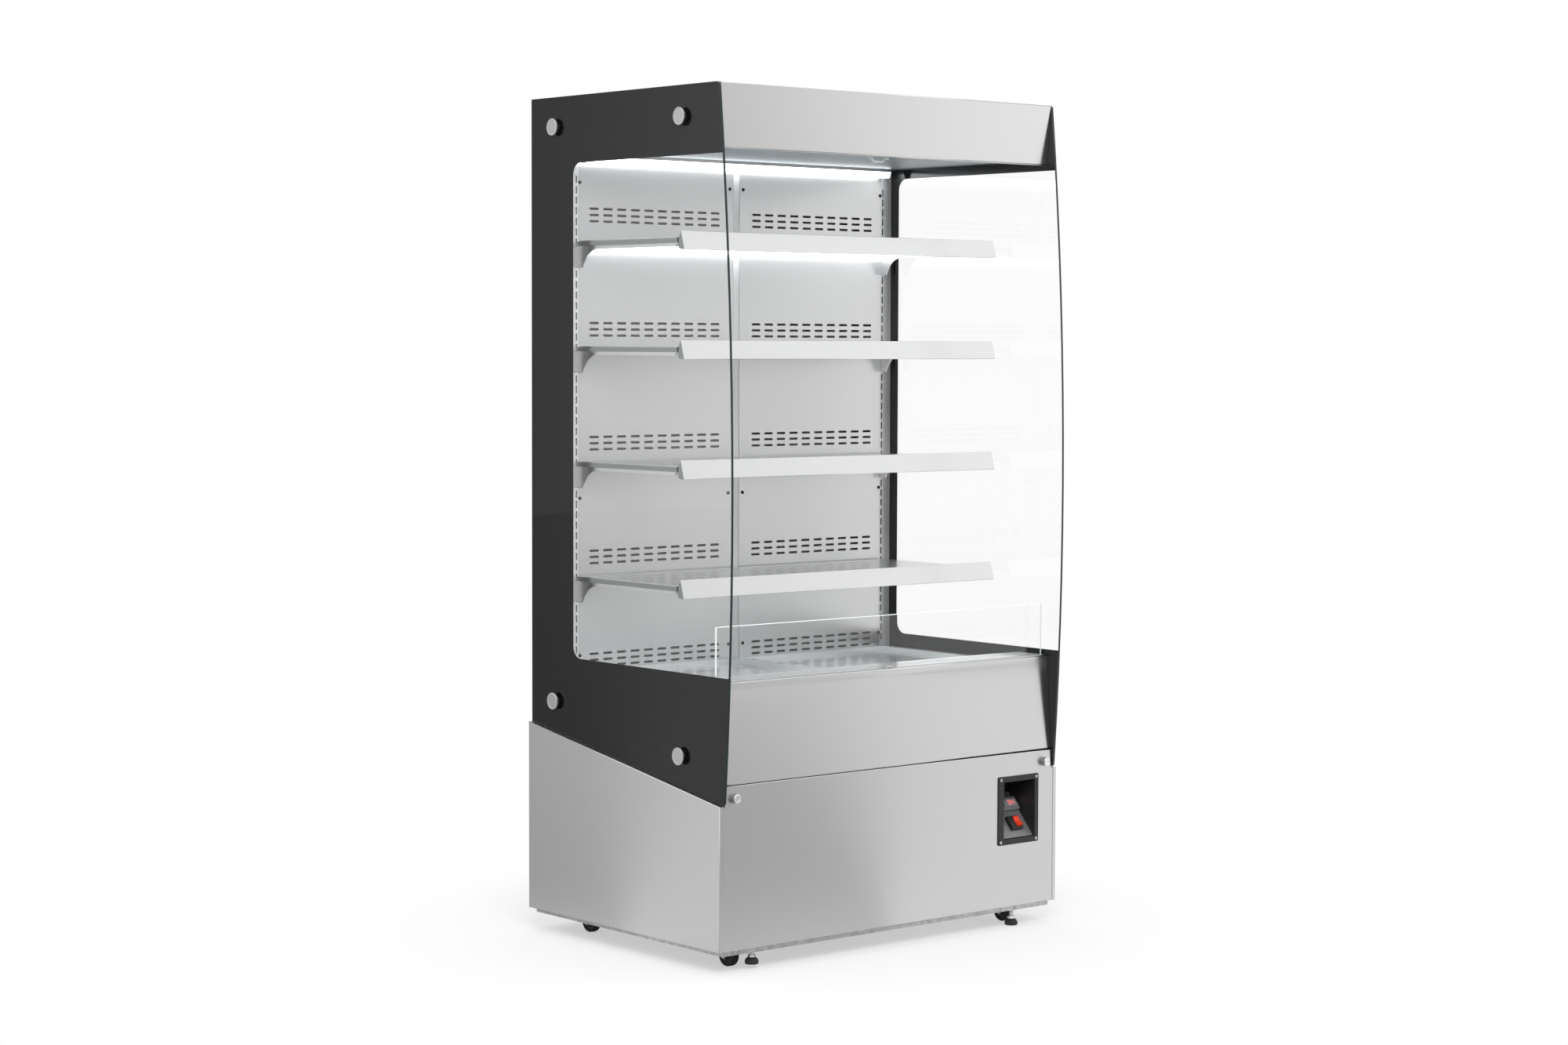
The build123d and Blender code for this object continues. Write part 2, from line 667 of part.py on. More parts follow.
def shelves():
    """Four shelves: a folded, slotted plate with a hollow, tilted price lip that is closed at its ends."""
    for level in range(len(shelf_levels)):
        z = shelf_top(level)
        lip_z = z + lip_rise
        foot_z = lip_z - lip_drop
        front = shelf_front_y
        top_y = front - lip_top_reach
        foot_y = front - lip_foot_reach
        plate = block((-shelf_half, shelf_half), (front - 4, shelf_back_y), (z - sheet, z))
        back_half = bracket_inner - 3.5
        folds = [block((-back_half, back_half), (shelf_back_y - sheet, shelf_back_y), (z - shelf_fold, z))]
        for side in (-1, 1):
            x = sorted((side * shelf_half, side * (shelf_half - sheet)))
            folds.append(block(x, (front - 4, shelf_back_y), (z - shelf_fold, z)))
        g = sheet
        lip = [(top_y, lip_z), (foot_y, foot_z), (front - 5, foot_z + g)]
        lip += [(front + 2, z - shelf_fold), (front + 2, z - 0.2), (top_y + 6, z)]
        core = [(top_y + g, lip_z - 3 * g), (foot_y + 1.3 * g, foot_z + 1.2 * g)]
        core += [(front - 5 - g, foot_z + 2 * g), (front + 2 - g, z - shelf_fold + g)]
        core += [(front + 2 - g, z - 0.2 - g), (top_y + 6 - g, z - g)]
        rail = run_x(lip, (-shelf_half, shelf_half)) - run_x(core, (-shelf_half + g, shelf_half - g))
        slots = []
        count = 2 * int((shelf_half - 40) / shelf_slot_pitch) + 1
        for row in shelf_slot_rows:
            y = front + row
            for i in range(count):
                x = (i - (count - 1) / 2) * shelf_slot_pitch
                slots.append(block((x - 32, x + 32), (y - 4, y + 4), (z - sheet - 1, z + 1)))
        keep(f"shelf_{level + 1}", join([cut(plate, slots)] + folds + [rail]))


def shelf_brackets():
    """Eight cantilever brackets, each with a back flange on its upright and two hooks in its slots."""
    plate_x = (bracket_inner, bracket_inner + bracket_gauge)
    hook_x = (slot_column - 1.25, slot_column + 1.25)
    back = rear_wall_y - touch
    bend_y = shelf_back_y - 64
    solids = []
    for level in range(len(shelf_levels)):
        z = shelf_top(level) - sheet - touch
        root_z = z - bracket_root
        tip = (back - 20, root_z)
        arm_y = shelf_front_y + 14
        low = z - bracket_arm
        arm = Polyline((back, root_z), (back, z), (arm_y, z), (arm_y, low), (bend_y, low))
        curve = ThreePointArc((bend_y, low), (back - 34, z - 34), tip)
        face = make_face([arm, curve, Line(tip, (back, root_z))])
        plate = extrude(Plane.YZ.offset(plate_x[0]) * face, amount=bracket_gauge)
        flange = block((plate_x[0], plate_x[0] + 22), (back - 2, back), (root_z + 2, z - 10))
        hooks = []
        for step in (1, 2):
            hook = shelf_top(level) - shelf_over_slot - slot_pitch * step
            hooks.append(block(hook_x, (back - 2, back + 8), (hook - 6, hook + 6)))
        bracket = join([plate, flange] + hooks)
        solids += [bracket, mirrored(bracket)]
    keep("shelf_brackets", *solids)


def apron():
    """Sloping front panel between the glasses, with its top return and the curtain catch."""
    foot = apron_foot_z + 1
    behind = tank_front_y - touch
    outer = [(apron_foot_y, foot), (behind, foot), (behind, sill_z), (apron_top_y, sill_z)]
    inner = [(apron_foot_y + sheet, foot + sheet), (behind + 1, foot + sheet)]
    inner += [(behind + 1, sill_z - sheet), (apron_top_y + sheet, sill_z - sheet)]
    pan = run_x(outer, (-body_half, body_half))
    hollow = run_x(inner, (-body_half + sheet, body_half - sheet))
    return_y = (apron_top_y + 6, channel_front() - touch)
    top_return = block((-body_half, body_half), return_y, (sill_z - sheet, sill_z))
    staple = [rod("x", (curtain_catch_y, sill_z + 4), 1.5, (-11.5, 11.5))]
    for x in (-10, 10):
        staple.append(rod("z", (x, curtain_catch_y), 1.5, (sill_z - 1, sill_z + 4)))
    keep("apron", join([pan - hollow, top_return] + staple))


def channel_front():
    """Front face of the channel that holds the low front glass."""
    return sill_glass_y - touch - sheet


def sill():
    """Low front glass in its channel, which is folded in one piece with the air return grille."""
    glass_half = body_half - 3
    glass_y = (sill_glass_y, sill_glass_y + sill_glass_gauge)
    low = deck_z + 0.2
    glass = block((-glass_half, glass_half), glass_y, (low + sheet + touch, sill_z + sill_glass_rise))
    top_edges = glass.edges().filter_by(Axis.Y).group_by(Axis.Z)[-1]
    keep("sill_glass", fillet(top_edges, 4))
    front = channel_front()
    rear = glass_y[1] + touch + sheet
    x = (-body_half, body_half)
    pieces = [block(x, (front, rear), (low, low + sheet)),
              block(x, (front, front + sheet), (low, sill_z)),
              block(x, (rear - sheet, rear), (low, sill_z)),
              block(x, (rear - sheet, grille_back_y), (sill_z - sheet, sill_z)),
              block(x, (grille_back_y - sheet, grille_back_y), (low, sill_z))]
    slots = []
    count = 2 * int((body_half - 40) / grille_pitch)
    for i in range(count):
        middle = (i - (count - 1) / 2) * grille_pitch
        slots.append(block((middle - 3.5, middle + 3.5), (rear + 6, grille_back_y - 8),
                           (sill_z - sheet - 1, sill_z + 1)))
    keep("return_grille", cut(join(pieces), slots))


def deck_trays():
    """Two dished trays that hang by their edges on the tub's rim and its middle rail."""
    floor = deck_z - tray_dish_depth
    rim = deck_z + touch + sheet
    x = (touch, body_half - tray_side_gap)
    dish_x = (x[0] + 11, body_half - tank_wall - 5)
    back = rear_wall_y - tray_back_gap
    outer = block(dish_x, (tray_dish_y, back), (floor - sheet, rim))
    brim = block(x, (grille_back_y + touch, back), (deck_z + touch, rim))
    inside_y = (tray_dish_y + sheet, back - sheet)
    dish = block((dish_x[0] + sheet, dish_x[1] - sheet), inside_y, (floor, rim + 1))
    slots = []
    pitch = (dish_x[1] - dish_x[0]) / 4
    for y in tray_slot_rows:
        for i in range(4):
            middle = dish_x[0] + pitch * (i + 0.5)
            slots.append(block((middle - 35, middle + 35), (y - 4, y + 4), (floor - sheet - 1, floor + 1)))
    tray = cut(join([outer, brim]) - dish, slots)
    keep("deck_tray_right", tray)
    keep("deck_tray_left", mirrored(tray))


def service_panel():
    """Lower front panel: folded at its top and sides, with its upper corners notched for the side glass."""
    x = half - glass_step - 1
    high = apron_foot_z
    low = base_z + 0.5
    face = block((-x, x), (0, sheet), (low, high))
    folds = [block((-body_half, body_half), (0, service_fold), (high - sheet, high))]
    cuts = []
    for side in (-1, 1):
        edge = sorted((side * x, side * (x - sheet)))
        folds.append(block(edge, (0, service_fold), (low, side_front_z - 3)))
        edge = sorted((side * (x + 1), side * body_half))
        cuts.append(block(edge, (-1, service_fold + 1), (side_front_z - 2, high + 1)))
        cuts.append(rod("y", (side * screw_x, screw_z), screw_shank + running, (-1, 5)))
    w = window_wide / 2 + recess_wall + 2
    t = window_tall / 2 + recess_wall + 2
    cuts.append(block((window_x - w, window_x + w), (-1, 5), (control_z - t, control_z + t)))
    keep("service_panel", cut(join([face] + folds), cuts))
    for name, side in (("thumbscrew_left", -1), ("thumbscrew_right", 1)):
        place = (side * screw_x, screw_z)
        head = rod("y", place, screw_head, (-screw_long - touch, -touch))
        head = fillet(head.edges().sort_by(Axis.Y)[0], 2.5)
        grooves = []
        for i in range(16):
            turn = 2 * pi * i / 16
            edge = (place[0] + screw_head * cos(turn), place[1] + screw_head * sin(turn))
            grooves.append(rod("y", edge, 0.9, (3 - screw_long, 1)))
        keep(name, join([cut(head, grooves), rod("y", place, screw_shank, (-1, tank_front_y + 6))]))


def slope_place(along, proud=0.0):
    """A point on the sloping instrument plate: how far up the slope, and how far out of its face."""
    tilt = radians(plate_tilt)
    foot_z = control_z - window_tall / 2 + 0.5
    return (2.0 + along * sin(tilt) - proud * cos(tilt), foot_z + along * cos(tilt) + proud * sin(tilt))


def on_slope(solid, x, along, proud=0.0):
    """Places a solid drawn flat (X across, Y up the slope, Z out of the face) on the instrument plate."""
    y, z = slope_place(along, proud)
    return Pos(x, y, z) * Rot(90 - plate_tilt, 0, 0) * solid


def bezel():
    """Moulded bezel and recess in one piece, with four screws."""
    frame = block((control_x - bezel_wide / 2, control_x + bezel_wide / 2), (-bezel_proud, -0.1),
                  (control_z - bezel_tall / 2, control_z + bezel_tall / 2))
    frame = fillet(frame.edges().filter_by(Axis.Y), 4)
    frame = chamfer(frame.faces().sort_by(Axis.Y)[0].edges(), 1.2)
    w, t = window_wide / 2, window_tall / 2
    shell = block((window_x - w - recess_wall, window_x + w + recess_wall), (-0.6, recess_depth),
                  (control_z - t - recess_wall, control_z + t + recess_wall))
    inner = block((window_x - w, window_x + w), (-bezel_proud - 1, recess_depth - recess_wall),
                  (control_z - t, control_z + t))
    screws = []
    bores = []
    for dx in (8 - bezel_wide / 2, bezel_wide / 2 - 8):
        for dz in (7 - bezel_tall / 2, bezel_tall / 2 - 7):
            place = (control_x + dx, control_z + dz)
            bores.append(rod("y", place, 1.6, (-bezel_proud - 1, 1)))
            head = rod("y", place, 3.2, (-bezel_proud - 1.4, -bezel_proud))
            screws.append(join([head, rod("y", place, 1.5, (-bezel_proud - 0.5, 0))]))
    keep("control_bezel", cut(join([frame, shell]) - inner, bores), *screws)


def controls():
    """Sloping plate, thermostat with three keys, and the switch housing with its rocker."""
    base = (Align.CENTER, Align.CENTER, Align.MIN)
    behind = (Align.CENTER, Align.CENTER, Align.MAX)
    thermo_x, thermo_along = window_x + thermostat_place[0], thermostat_place[1]
    switch_x, switch_along = window_x + switch_place[0], switch_place[1]
    plate = Box(window_wide - 2 * touch, plate_run, sheet, align=(Align.CENTER, Align.MIN, Align.MAX))
    body_wide, body_tall = thermostat_wide - 7.6, thermostat_tall - 7.6
    stem_size = switch_size - 6.6
    cuts = [on_slope(Box(body_wide + 2 * touch, body_tall + 2 * touch, 8), thermo_x, thermo_along),
            on_slope(Box(stem_size + 2 * touch, stem_size + 2 * touch, 8), switch_x, switch_along)]
    keep("control_plate", cut(on_slope(plate, window_x, 1.0), cuts))
    case = Box(thermostat_wide, thermostat_tall, thermostat_proud, align=base)
    case = fillet(case.edges().filter_by(Axis.Z), 3)
    case = chamfer(case.faces().sort_by(Axis.Z)[-1].edges(), 1.5)
    body = Pos(0, 0, 0.5) * Box(body_wide, body_tall, 20, align=behind)
    lens_x = thermostat_wide / 2 - 24.5
    lens = Pos(lens_x, 0, thermostat_proud - 0.4) * Box(40, 20, 3, align=base)
    pocket = Pos(lens_x, 0, thermostat_proud) * Box(40, 20, 1.6)
    key_wide, key_tall, key_deep = key_size
    key_x = thermostat_wide / 2 - 66.5
    key_places = {"key_set": (key_x, 8), "key_up": (key_x, -1.5), "key_down": (key_x + 12, -1.5)}
    well = Box(key_wide + 2 * key_gap, key_tall + 2 * key_gap, 6)
    wells = [Pos(x, y, thermostat_proud) * well for x, y in key_places.values()]
    case = cut(join([case, body]), [pocket] + wells)
    keep("thermostat", on_slope(case, thermo_x, thermo_along, 0.1),
         on_slope(lens, thermo_x, thermo_along, -0.4))
    for name, (x, y) in key_places.items():
        key = Pos(x, y, thermostat_proud - 1.8) * Box(key_wide, key_tall, key_deep, align=base)
        key = fillet(key.faces().sort_by(Axis.Z)[-1].edges(), 0.6)
        keep(name, on_slope(key, thermo_x, thermo_along, 0.1))
    housing = Box(switch_size, switch_size, switch_proud, align=base)
    housing = chamfer(housing.faces().sort_by(Axis.Z)[-1].edges(), 2.0)
    stem = Pos(0, 0, 0.5) * Box(stem_size, stem_size, 22, align=behind)
    pivot_z = switch_proud - 1
    rocker_x = 6.5
    pocket = Pos(rocker_x, 0, pivot_z - 5) * Box(16, 27, 9, align=base)
    pivot = Pos(rocker_x, 0, pivot_z) * Rot(0, 90, 0)
    housing = cut(join([housing, stem]), [pocket, pivot * Cylinder(rocker_pin + running, 22)])
    keep("rocker_housing", on_slope(housing, switch_x, switch_along, 0.1))
    outline = [(-11.5, -2.5), (11.5, -2.5), (12.3, 5.5), (0, 2.2), (-12.3, 5.5)]
    rocker = extrude(Plane.YZ.offset(-7.4) * make_face(Polyline(*outline, close=True)), amount=14.8)
    rocker = Rot(-rocker_tilt, 0, 0) * join([rocker, Rot(0, 90, 0) * Cylinder(rocker_pin, 20)])
    keep("rocker", on_slope(Pos(rocker_x, 0, pivot_z) * rocker, switch_x, switch_along, 0.1))


def wheel():
    """A castor wheel about the X axis at the origin, with a crowned tread and dished faces."""
    tread = Cylinder(wheel_radius, wheel_wide)
    tread = fillet(tread.edges(), 4)
    dish = Cylinder(wheel_radius - 6, 3)
    solid = Rot(0, 90, 0) * (tread - [Pos(0, 0, wheel_wide / 2) * dish, Pos(0, 0, -wheel_wide / 2) * dish])
    boss = rod("x", (0, 0), axle_radius + 3, (-wheel_wide / 2, wheel_wide / 2))
    return join([solid, boss]) - rod("x", (0, 0), axle_radius + running, (-wheel_wide, wheel_wide))


def fork(crown_top, crown_low, bored):
    """A castor fork at the origin, trailing toward the front, with its axle. The kingpin axis is Z."""
    leg_x = wheel_wide / 2 + 1.5
    gauge = 2.5
    axle = (-castor_trail, wheel_radius)
    crown = rod("z", (0, 0), 19, (crown_low, crown_top))
    bridge = block((-leg_x - gauge, leg_x + gauge), (axle[0] - 6, 12), (crown_low, crown_low + 3))
    leg = [(12, crown_low + 3), (axle[0] - 6, crown_low + 3), (axle[0] - 9, wheel_radius),
           (axle[0], wheel_radius - 9), (axle[0] + 9, wheel_radius)]
    cheek = run_x(leg, (leg_x, leg_x + gauge))
    pin = rod("x", axle, axle_radius, (-leg_x - gauge - 1, leg_x + gauge + 1))
    heads = []
    for side in (-1, 1):
        x = sorted((side * (leg_x + gauge - 0.5), side * (leg_x + gauge + 3.5)))
        heads.append(rod("x", axle, axle_radius + 2.5, x))
    body = join([crown, bridge, cheek, mirrored(cheek), pin] + heads)
    if bored:
        body = body - rod("z", (0, 0), axle_radius + running, (crown_low - 1, crown_top + 1))
    return body


def castors():
    """Two swivelling castors at the front and two fixed ones at the back."""
    crown_low = pan_z - 13.0
    swivel = fork(pan_z - frame_gauge - touch, crown_low, True)
    fixed = fork(pan_z - touch, crown_low, False)
    axle = Pos(0, -castor_trail, wheel_radius)
    rear = []
    for name, side in (("left", -1), ("right", 1)):
        front = Pos(side * castor_x, castor_from_front, 0)
        back = Pos(side * castor_x, base_depth - castor_from_back + castor_trail, 0)
        keep(f"castor_fork_front_{name}", front * swivel)
        keep(f"castor_wheel_front_{name}", front * axle * wheel())
        keep(f"castor_wheel_back_{name}", back * axle * wheel())
        rear.append(back * fixed)
    keep("rear_castor_forks", *rear)


def levelling_feet():
    """Two screw feet at the front, each a threaded stud with a nut in a domed pad."""
    rim = foot_radius
    flat = Polyline((0, 15), (0, 0), (rim - 1, 0), (rim, 3), (rim, 6))
    dome = ThreePointArc((rim, 6), (rim - 3.5, 12), (foot_stud + 3, 15))
    pad = revolve(Plane.XZ * make_face([flat, dome, Line((foot_stud + 3, 15), (0, 15))]), Axis.Z)
    stud = rod("z", (0, 0), foot_stud, (14, pan_z - 4))
    nut = extrude(Pos(0, 0, 14.5) * RegularPolygon(foot_stud + 3, 6), 5)
    foot = join([pad, stud, nut])
    for name, side in (("left", -1), ("right", 1)):
        keep(f"levelling_foot_{name}", Pos(side * foot_x, foot_y, foot_gaps[name]) * foot)


def condensing_unit():
    """Compressor on its feet, condenser coil, and the fan in its shroud with the motor on four arms."""
    floor = pan_z + frame_gauge
    cx = compressor_x
    cy = base_depth - compressor_from_back
    r = compressor_radius
    dome = rod("z", (cx, cy), r, (floor + 22, floor + compressor_tall))
    dome = fillet(dome.edges().filter_by(GeomType.CIRCLE), 30)
    pieces = [dome, block((cx - r - 15, cx + r + 15), (cy - 50, cy + 50), (floor + 12, floor + 24)),
              block((cx - r - 39, cx - r + 15), (cy - 30, cy + 30), (floor + 80, floor + 150))]
    for dx in (-r, r):
        pieces += [rod("z", (cx + dx, cy + dy), 12, (floor, floor + 13)) for dy in (-35, 35)]
    for dx in (-30, 30):
        stub_z = (floor + compressor_tall - 10, floor + compressor_tall + 35)
        pieces.append(rod("z", (cx + dx, cy), 6, stub_z))
    keep("compressor", join(pieces))
    coil_x = (condenser_x - condenser_wide / 2, condenser_x + condenser_wide / 2)
    coil_back = base_depth - condenser_from_back
    coil_y = (coil_back - condenser_deep, coil_back)
    fins = 13
    pieces = []
    for i in range(fins):
        x = coil_x[0] + condenser_wide * i / (fins - 1)
        pieces.append(block((x - 1, x + 1), coil_y, (floor, floor + condenser_tall)))
    for y in (coil_y[0] + condenser_deep / 4, coil_y[1] - condenser_deep / 4):
        for i in range(5):
            z = floor + condenser_tall * (i + 0.7) / 5.4
            pieces.append(rod("x", (y, z), coil_tube, (coil_x[0] - 10, coil_x[1] + 10)))
    keep("condenser_coil", join(pieces))
    centre = (condenser_x, floor + condenser_tall / 2)
    front = coil_y[0] - shroud_deep
    box_x = (coil_x[0] + 2, coil_x[1] - 2)
    high = floor + condenser_tall - 2
    shroud = block(box_x, (front, coil_y[0] - touch), (floor, high))
    hollow = block((box_x[0] + 2, box_x[1] - 2), (front + 2, coil_y[0] + 1), (floor + 2, high - 2))
    mouth = rod("y", centre, condenser_fan_radius + 4, (front - 10, front + 10))
    arm_y = front - 28
    pieces = [cut(shroud, [hollow, mouth]), rod("y", centre, 30, (arm_y - 22, front - 10)),
              rod("y", centre, motor_shaft, (front - 11, front + 45))]
    for turn in (45, 135, 225, 315):
        bar = block((25, condenser_fan_radius + 12), (arm_y, arm_y + 4), (-6, 6))
        post = block((condenser_fan_radius + 6, condenser_fan_radius + 14), (arm_y, front + 3), (-6, 6))
        pieces += [Pos(centre[0], 0, centre[1]) * Rot(0, turn, 0) * piece for piece in (bar, post)]
    keep("condenser_shroud", join(pieces))
    rotor = fan_blades(condenser_fan_radius, 32, 24, 70, 26)
    keep("condenser_fan", Pos(centre[0], front + 22, centre[1]) * rotor)


def machine_boxes():
    """Electrical box with the mains lead's gland on top, and the pan that catches the coil's water."""
    floor = pan_z + frame_gauge
    left = -body_half + 34
    x = (left, left + electrical_wide)
    y = (electrical_y, electrical_y + electrical_deep)
    box = block(x, y, (floor, floor + electrical_tall))
    door = block((x[0] - 2, x[1] + 2), (y[0] - 4, y[0] + 0.5), (floor + 2, floor + electrical_tall - 2))
    middle = ((x[0] + x[1]) / 2, (y[0] + y[1]) / 2)
    gland = rod("z", middle, 11, (floor + electrical_tall - 1, floor + electrical_tall + 18))
    keep("electrical_box", join([box, door, gland]))
    wall = 2.0
    pan_y = (drain_pan_front_y, base_depth - compressor_from_back + 40)
    inner_x = (drain_pan_x[0] + wall, drain_pan_x[1] - wall)
    inner_y = (pan_y[0] + wall, pan_y[1] - wall)
    pan = block(drain_pan_x, pan_y, (floor, floor + drain_pan_tall))
    keep("drain_pan", pan - block(inner_x, inner_y, (floor + wall, floor + drain_pan_tall + 1)))


def export():
    """Moves every piece to the case's origin, the floor under its middle, and writes one file each."""
    front = min(solid.bounding_box().min.Y for solid in parts["side_glass_right"])
    middle = (base_depth + front) / 2
    print("middle of the case behind the front of its base:", round(middle, 4))
    for name, solids in parts.items():
        placed = [solid.moved(Location((0, -middle, 0))) for solid in solids]
        export_step(placed[0] if len(placed) == 1 else Compound(placed), f"parts/{name}.step")


base_frame()
base_sides()
side_glass()
tank()
fan_plate()
evaporator()
foamed_back()
rear_grille()
uprights()
air_panels()
canopy()
curtain()
lamps()
shelves()
shelf_brackets()
apron()
sill()
deck_trays()
service_panel()
bezel()
controls()
castors()
levelling_feet()
condensing_unit()
machine_boxes()
export()
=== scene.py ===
from math import atan2, copysign, cos, hypot, pi, radians, sin

import bmesh
import bpy
from mathutils import Matrix, Vector


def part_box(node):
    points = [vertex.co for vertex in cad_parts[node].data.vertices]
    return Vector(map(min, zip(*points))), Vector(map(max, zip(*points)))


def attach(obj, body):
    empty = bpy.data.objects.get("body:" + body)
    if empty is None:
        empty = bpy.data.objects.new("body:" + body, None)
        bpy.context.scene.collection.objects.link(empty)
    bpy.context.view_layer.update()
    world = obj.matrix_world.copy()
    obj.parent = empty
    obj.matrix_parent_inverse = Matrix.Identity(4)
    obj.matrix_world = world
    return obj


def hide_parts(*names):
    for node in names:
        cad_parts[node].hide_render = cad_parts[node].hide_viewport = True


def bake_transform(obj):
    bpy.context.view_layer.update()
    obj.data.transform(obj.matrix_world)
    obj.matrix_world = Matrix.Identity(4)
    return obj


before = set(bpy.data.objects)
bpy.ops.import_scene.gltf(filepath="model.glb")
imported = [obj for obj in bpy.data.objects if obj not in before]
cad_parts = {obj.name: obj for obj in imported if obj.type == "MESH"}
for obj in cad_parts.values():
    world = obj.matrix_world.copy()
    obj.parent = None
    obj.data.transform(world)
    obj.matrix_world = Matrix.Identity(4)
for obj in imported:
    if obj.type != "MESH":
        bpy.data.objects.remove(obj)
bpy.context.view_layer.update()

# Camera, from the photograph's viewpoint: in front of the case, to its left, at about chest height,
# with a long lens. It is turned by heading, pitch and a slight roll.
heading, pitch, roll = 0.7011, -0.0587, 0.0036
camera_place, focal_length, sensor_width = (-4.5165, -5.29645, 1.3356), 70.3, 36.0
forward = Vector((sin(heading) * cos(pitch), cos(heading) * cos(pitch), sin(pitch)))
level = Vector((cos(heading), -sin(heading), 0.0))
upright = level.cross(forward)
right = cos(roll) * level + sin(roll) * upright
up = cos(roll) * upright - sin(roll) * level
lens = bpy.data.cameras.new("camera")
lens.lens = focal_length
lens.sensor_width = sensor_width
camera = bpy.data.objects.new("camera", lens)
camera.matrix_world = Matrix((right, up, -forward)).transposed().to_4x4()
camera.location = camera_place
bpy.context.scene.collection.objects.link(camera)
bpy.context.scene.camera = camera
bpy.context.scene.view_settings.view_transform = "Standard"


# Studio: a pale floor, a soft white surround and three large lamps. The surround lights the case dimly and
# shows itself white to the camera. Steel and glass show it white at the sides and greyer in front and behind.
def material(name):
    """A new material, its nodes, its links and its Principled shader."""
    made = bpy.data.materials.new(name)
    made.use_nodes = True
    tree = made.node_tree
    return made, tree.nodes, tree.links, tree.nodes["Principled BSDF"]


def preset(node, values):
    """Sets some of a shader node's inputs, by their names, and gives the node."""
    for socket, value in values.items():
        node.inputs[socket].default_value = value
    return node


def ranged(nodes, links, value, to_low, to_high, low=0.0, high=1.0, smooth=False):
    """A Map Range node's output for a value."""
    reach = nodes.new("ShaderNodeMapRange")
    reach.interpolation_type = "SMOOTHSTEP" if smooth else "LINEAR"
    preset(reach, {"From Min": low, "From Max": high, "To Min": to_low, "To Max": to_high})
    links.new(value, reach.inputs["Value"])
    return reach.outputs[0]


def combined(nodes, links, operation, *values):
    """A Math node's output for outputs or numbers."""
    maths = nodes.new("ShaderNodeMath")
    maths.operation = operation
    for socket, value in zip(maths.inputs, values):
        if isinstance(value, (int, float)):
            socket.default_value = value
        else:
            links.new(value, socket)
    return maths.outputs[0]


def tent_tone(nodes, links, to_right, to_left, dim, full):
    """How bright the light tent looks, by its bearing from the case's front and from its left side."""
    ahead = nodes.new("ShaderNodeSeparateXYZ")
    links.new(to_right, ahead.inputs[0])
    beside = nodes.new("ShaderNodeSeparateXYZ")
    links.new(to_left, beside.inputs[0])
    right_wall = ranged(nodes, links, ahead.outputs["X"], 0.0, 1.0, 0.59, 0.69, True)
    leftward = combined(nodes, links, "MULTIPLY", beside.outputs["X"], -1.0)
    left_wall = ranged(nodes, links, leftward, 0.0, 0.7, 0.555, 0.655, True)
    wall = combined(nodes, links, "MAXIMUM", right_wall, left_wall)
    roof = ranged(nodes, links, ahead.outputs["Z"], 0.0, 1.0, 0.22, 0.62, True)
    return ranged(nodes, links, combined(nodes, links, "MAXIMUM", wall, roof), dim, full)


def seen_directly(nodes, links):
    """One where the camera looks, also through glass or by a gloss, and one where it looks by a gloss."""
    path = nodes.new("ShaderNodeLightPath")
    looked = combined(nodes, links, "MAXIMUM", path.outputs["Is Camera Ray"], path.outputs["Is Transmission Ray"])
    gloss = combined(nodes, links, "MINIMUM", path.outputs["Glossy Depth"], 1.0)
    return combined(nodes, links, "MAXIMUM", looked, path.outputs["Is Glossy Ray"]), gloss


def tent_colour(nodes, links, tone, gloss):
    """White to the camera, and the tent's tone in a gloss."""
    in_gloss = combined(nodes, links, "MULTIPLY", tone, gloss)
    lit = combined(nodes, links, "ADD", in_gloss, combined(nodes, links, "SUBTRACT", 1.0, gloss))
    colour = nodes.new("ShaderNodeCombineColor")
    for channel in range(3):
        links.new(lit, colour.inputs[channel])
    return colour.outputs[0]


def mix_shaders(nodes, links, factor, first, second):
    """A Mix Shader node's output."""
    mix = nodes.new("ShaderNodeMixShader")
    for socket, value in zip(mix.inputs, (factor, first, second)):
        links.new(value, socket)
    return mix.outputs[0]


surround = bpy.data.worlds.new("surround")
surround.use_nodes = True
bpy.context.scene.world = surround
nodes, links = surround.node_tree.nodes, surround.node_tree.links
light = preset(nodes["Background"], {"Color": (1.0, 1.0, 1.0, 1.0), "Strength": 0.55})
shown = nodes.new("ShaderNodeBackground")
direct, gloss = seen_directly(nodes, links)
bearing = nodes.new("ShaderNodeTexCoord").outputs["Generated"]
tone = tent_tone(nodes, links, bearing, bearing, 0.48, 1.20)
links.new(tent_colour(nodes, links, tone, gloss), shown.inputs["Color"])
seen = mix_shaders(nodes, links, direct, light.outputs[0], shown.outputs[0])
links.new(seen, nodes["World Output"].inputs["Surface"])

floor_half = 14.0
bm = bmesh.new()
bmesh.ops.create_grid(bm, x_segments=1, y_segments=1, size=floor_half)
floor_mesh = bpy.data.meshes.new("floor")
bm.to_mesh(floor_mesh)
bm.free()
floor = bpy.data.objects.new("floor", floor_mesh)
bpy.context.scene.collection.objects.link(floor)
pale, nodes, links, skin = material("pale floor")
preset(skin, {"Base Color": (0.92, 0.92, 0.92, 1.0), "Roughness": 0.9, "Specular IOR Level": 0.1})
place = nodes.new("ShaderNodeTexCoord")
far = nodes.new("ShaderNodeVectorMath")
far.operation = "LENGTH"
links.new(place.outputs["Object"], far.inputs[0])
bearings = []
for start in ((0.0, -0.33, 0.0), (-0.5, 0.0, 0.0)):
    reach = nodes.new("ShaderNodeVectorMath")
    reach.operation = "SUBTRACT"
    reach.inputs[1].default_value = start
    links.new(place.outputs["Object"], reach.inputs[0])
    bearing = nodes.new("ShaderNodeVectorMath")
    bearing.operation = "NORMALIZE"
    links.new(reach.outputs[0], bearing.inputs[0])
    bearings.append(bearing.outputs["Vector"])
tone = tent_tone(nodes, links, *bearings, 0.42, 0.86)
direct, gloss = seen_directly(nodes, links)
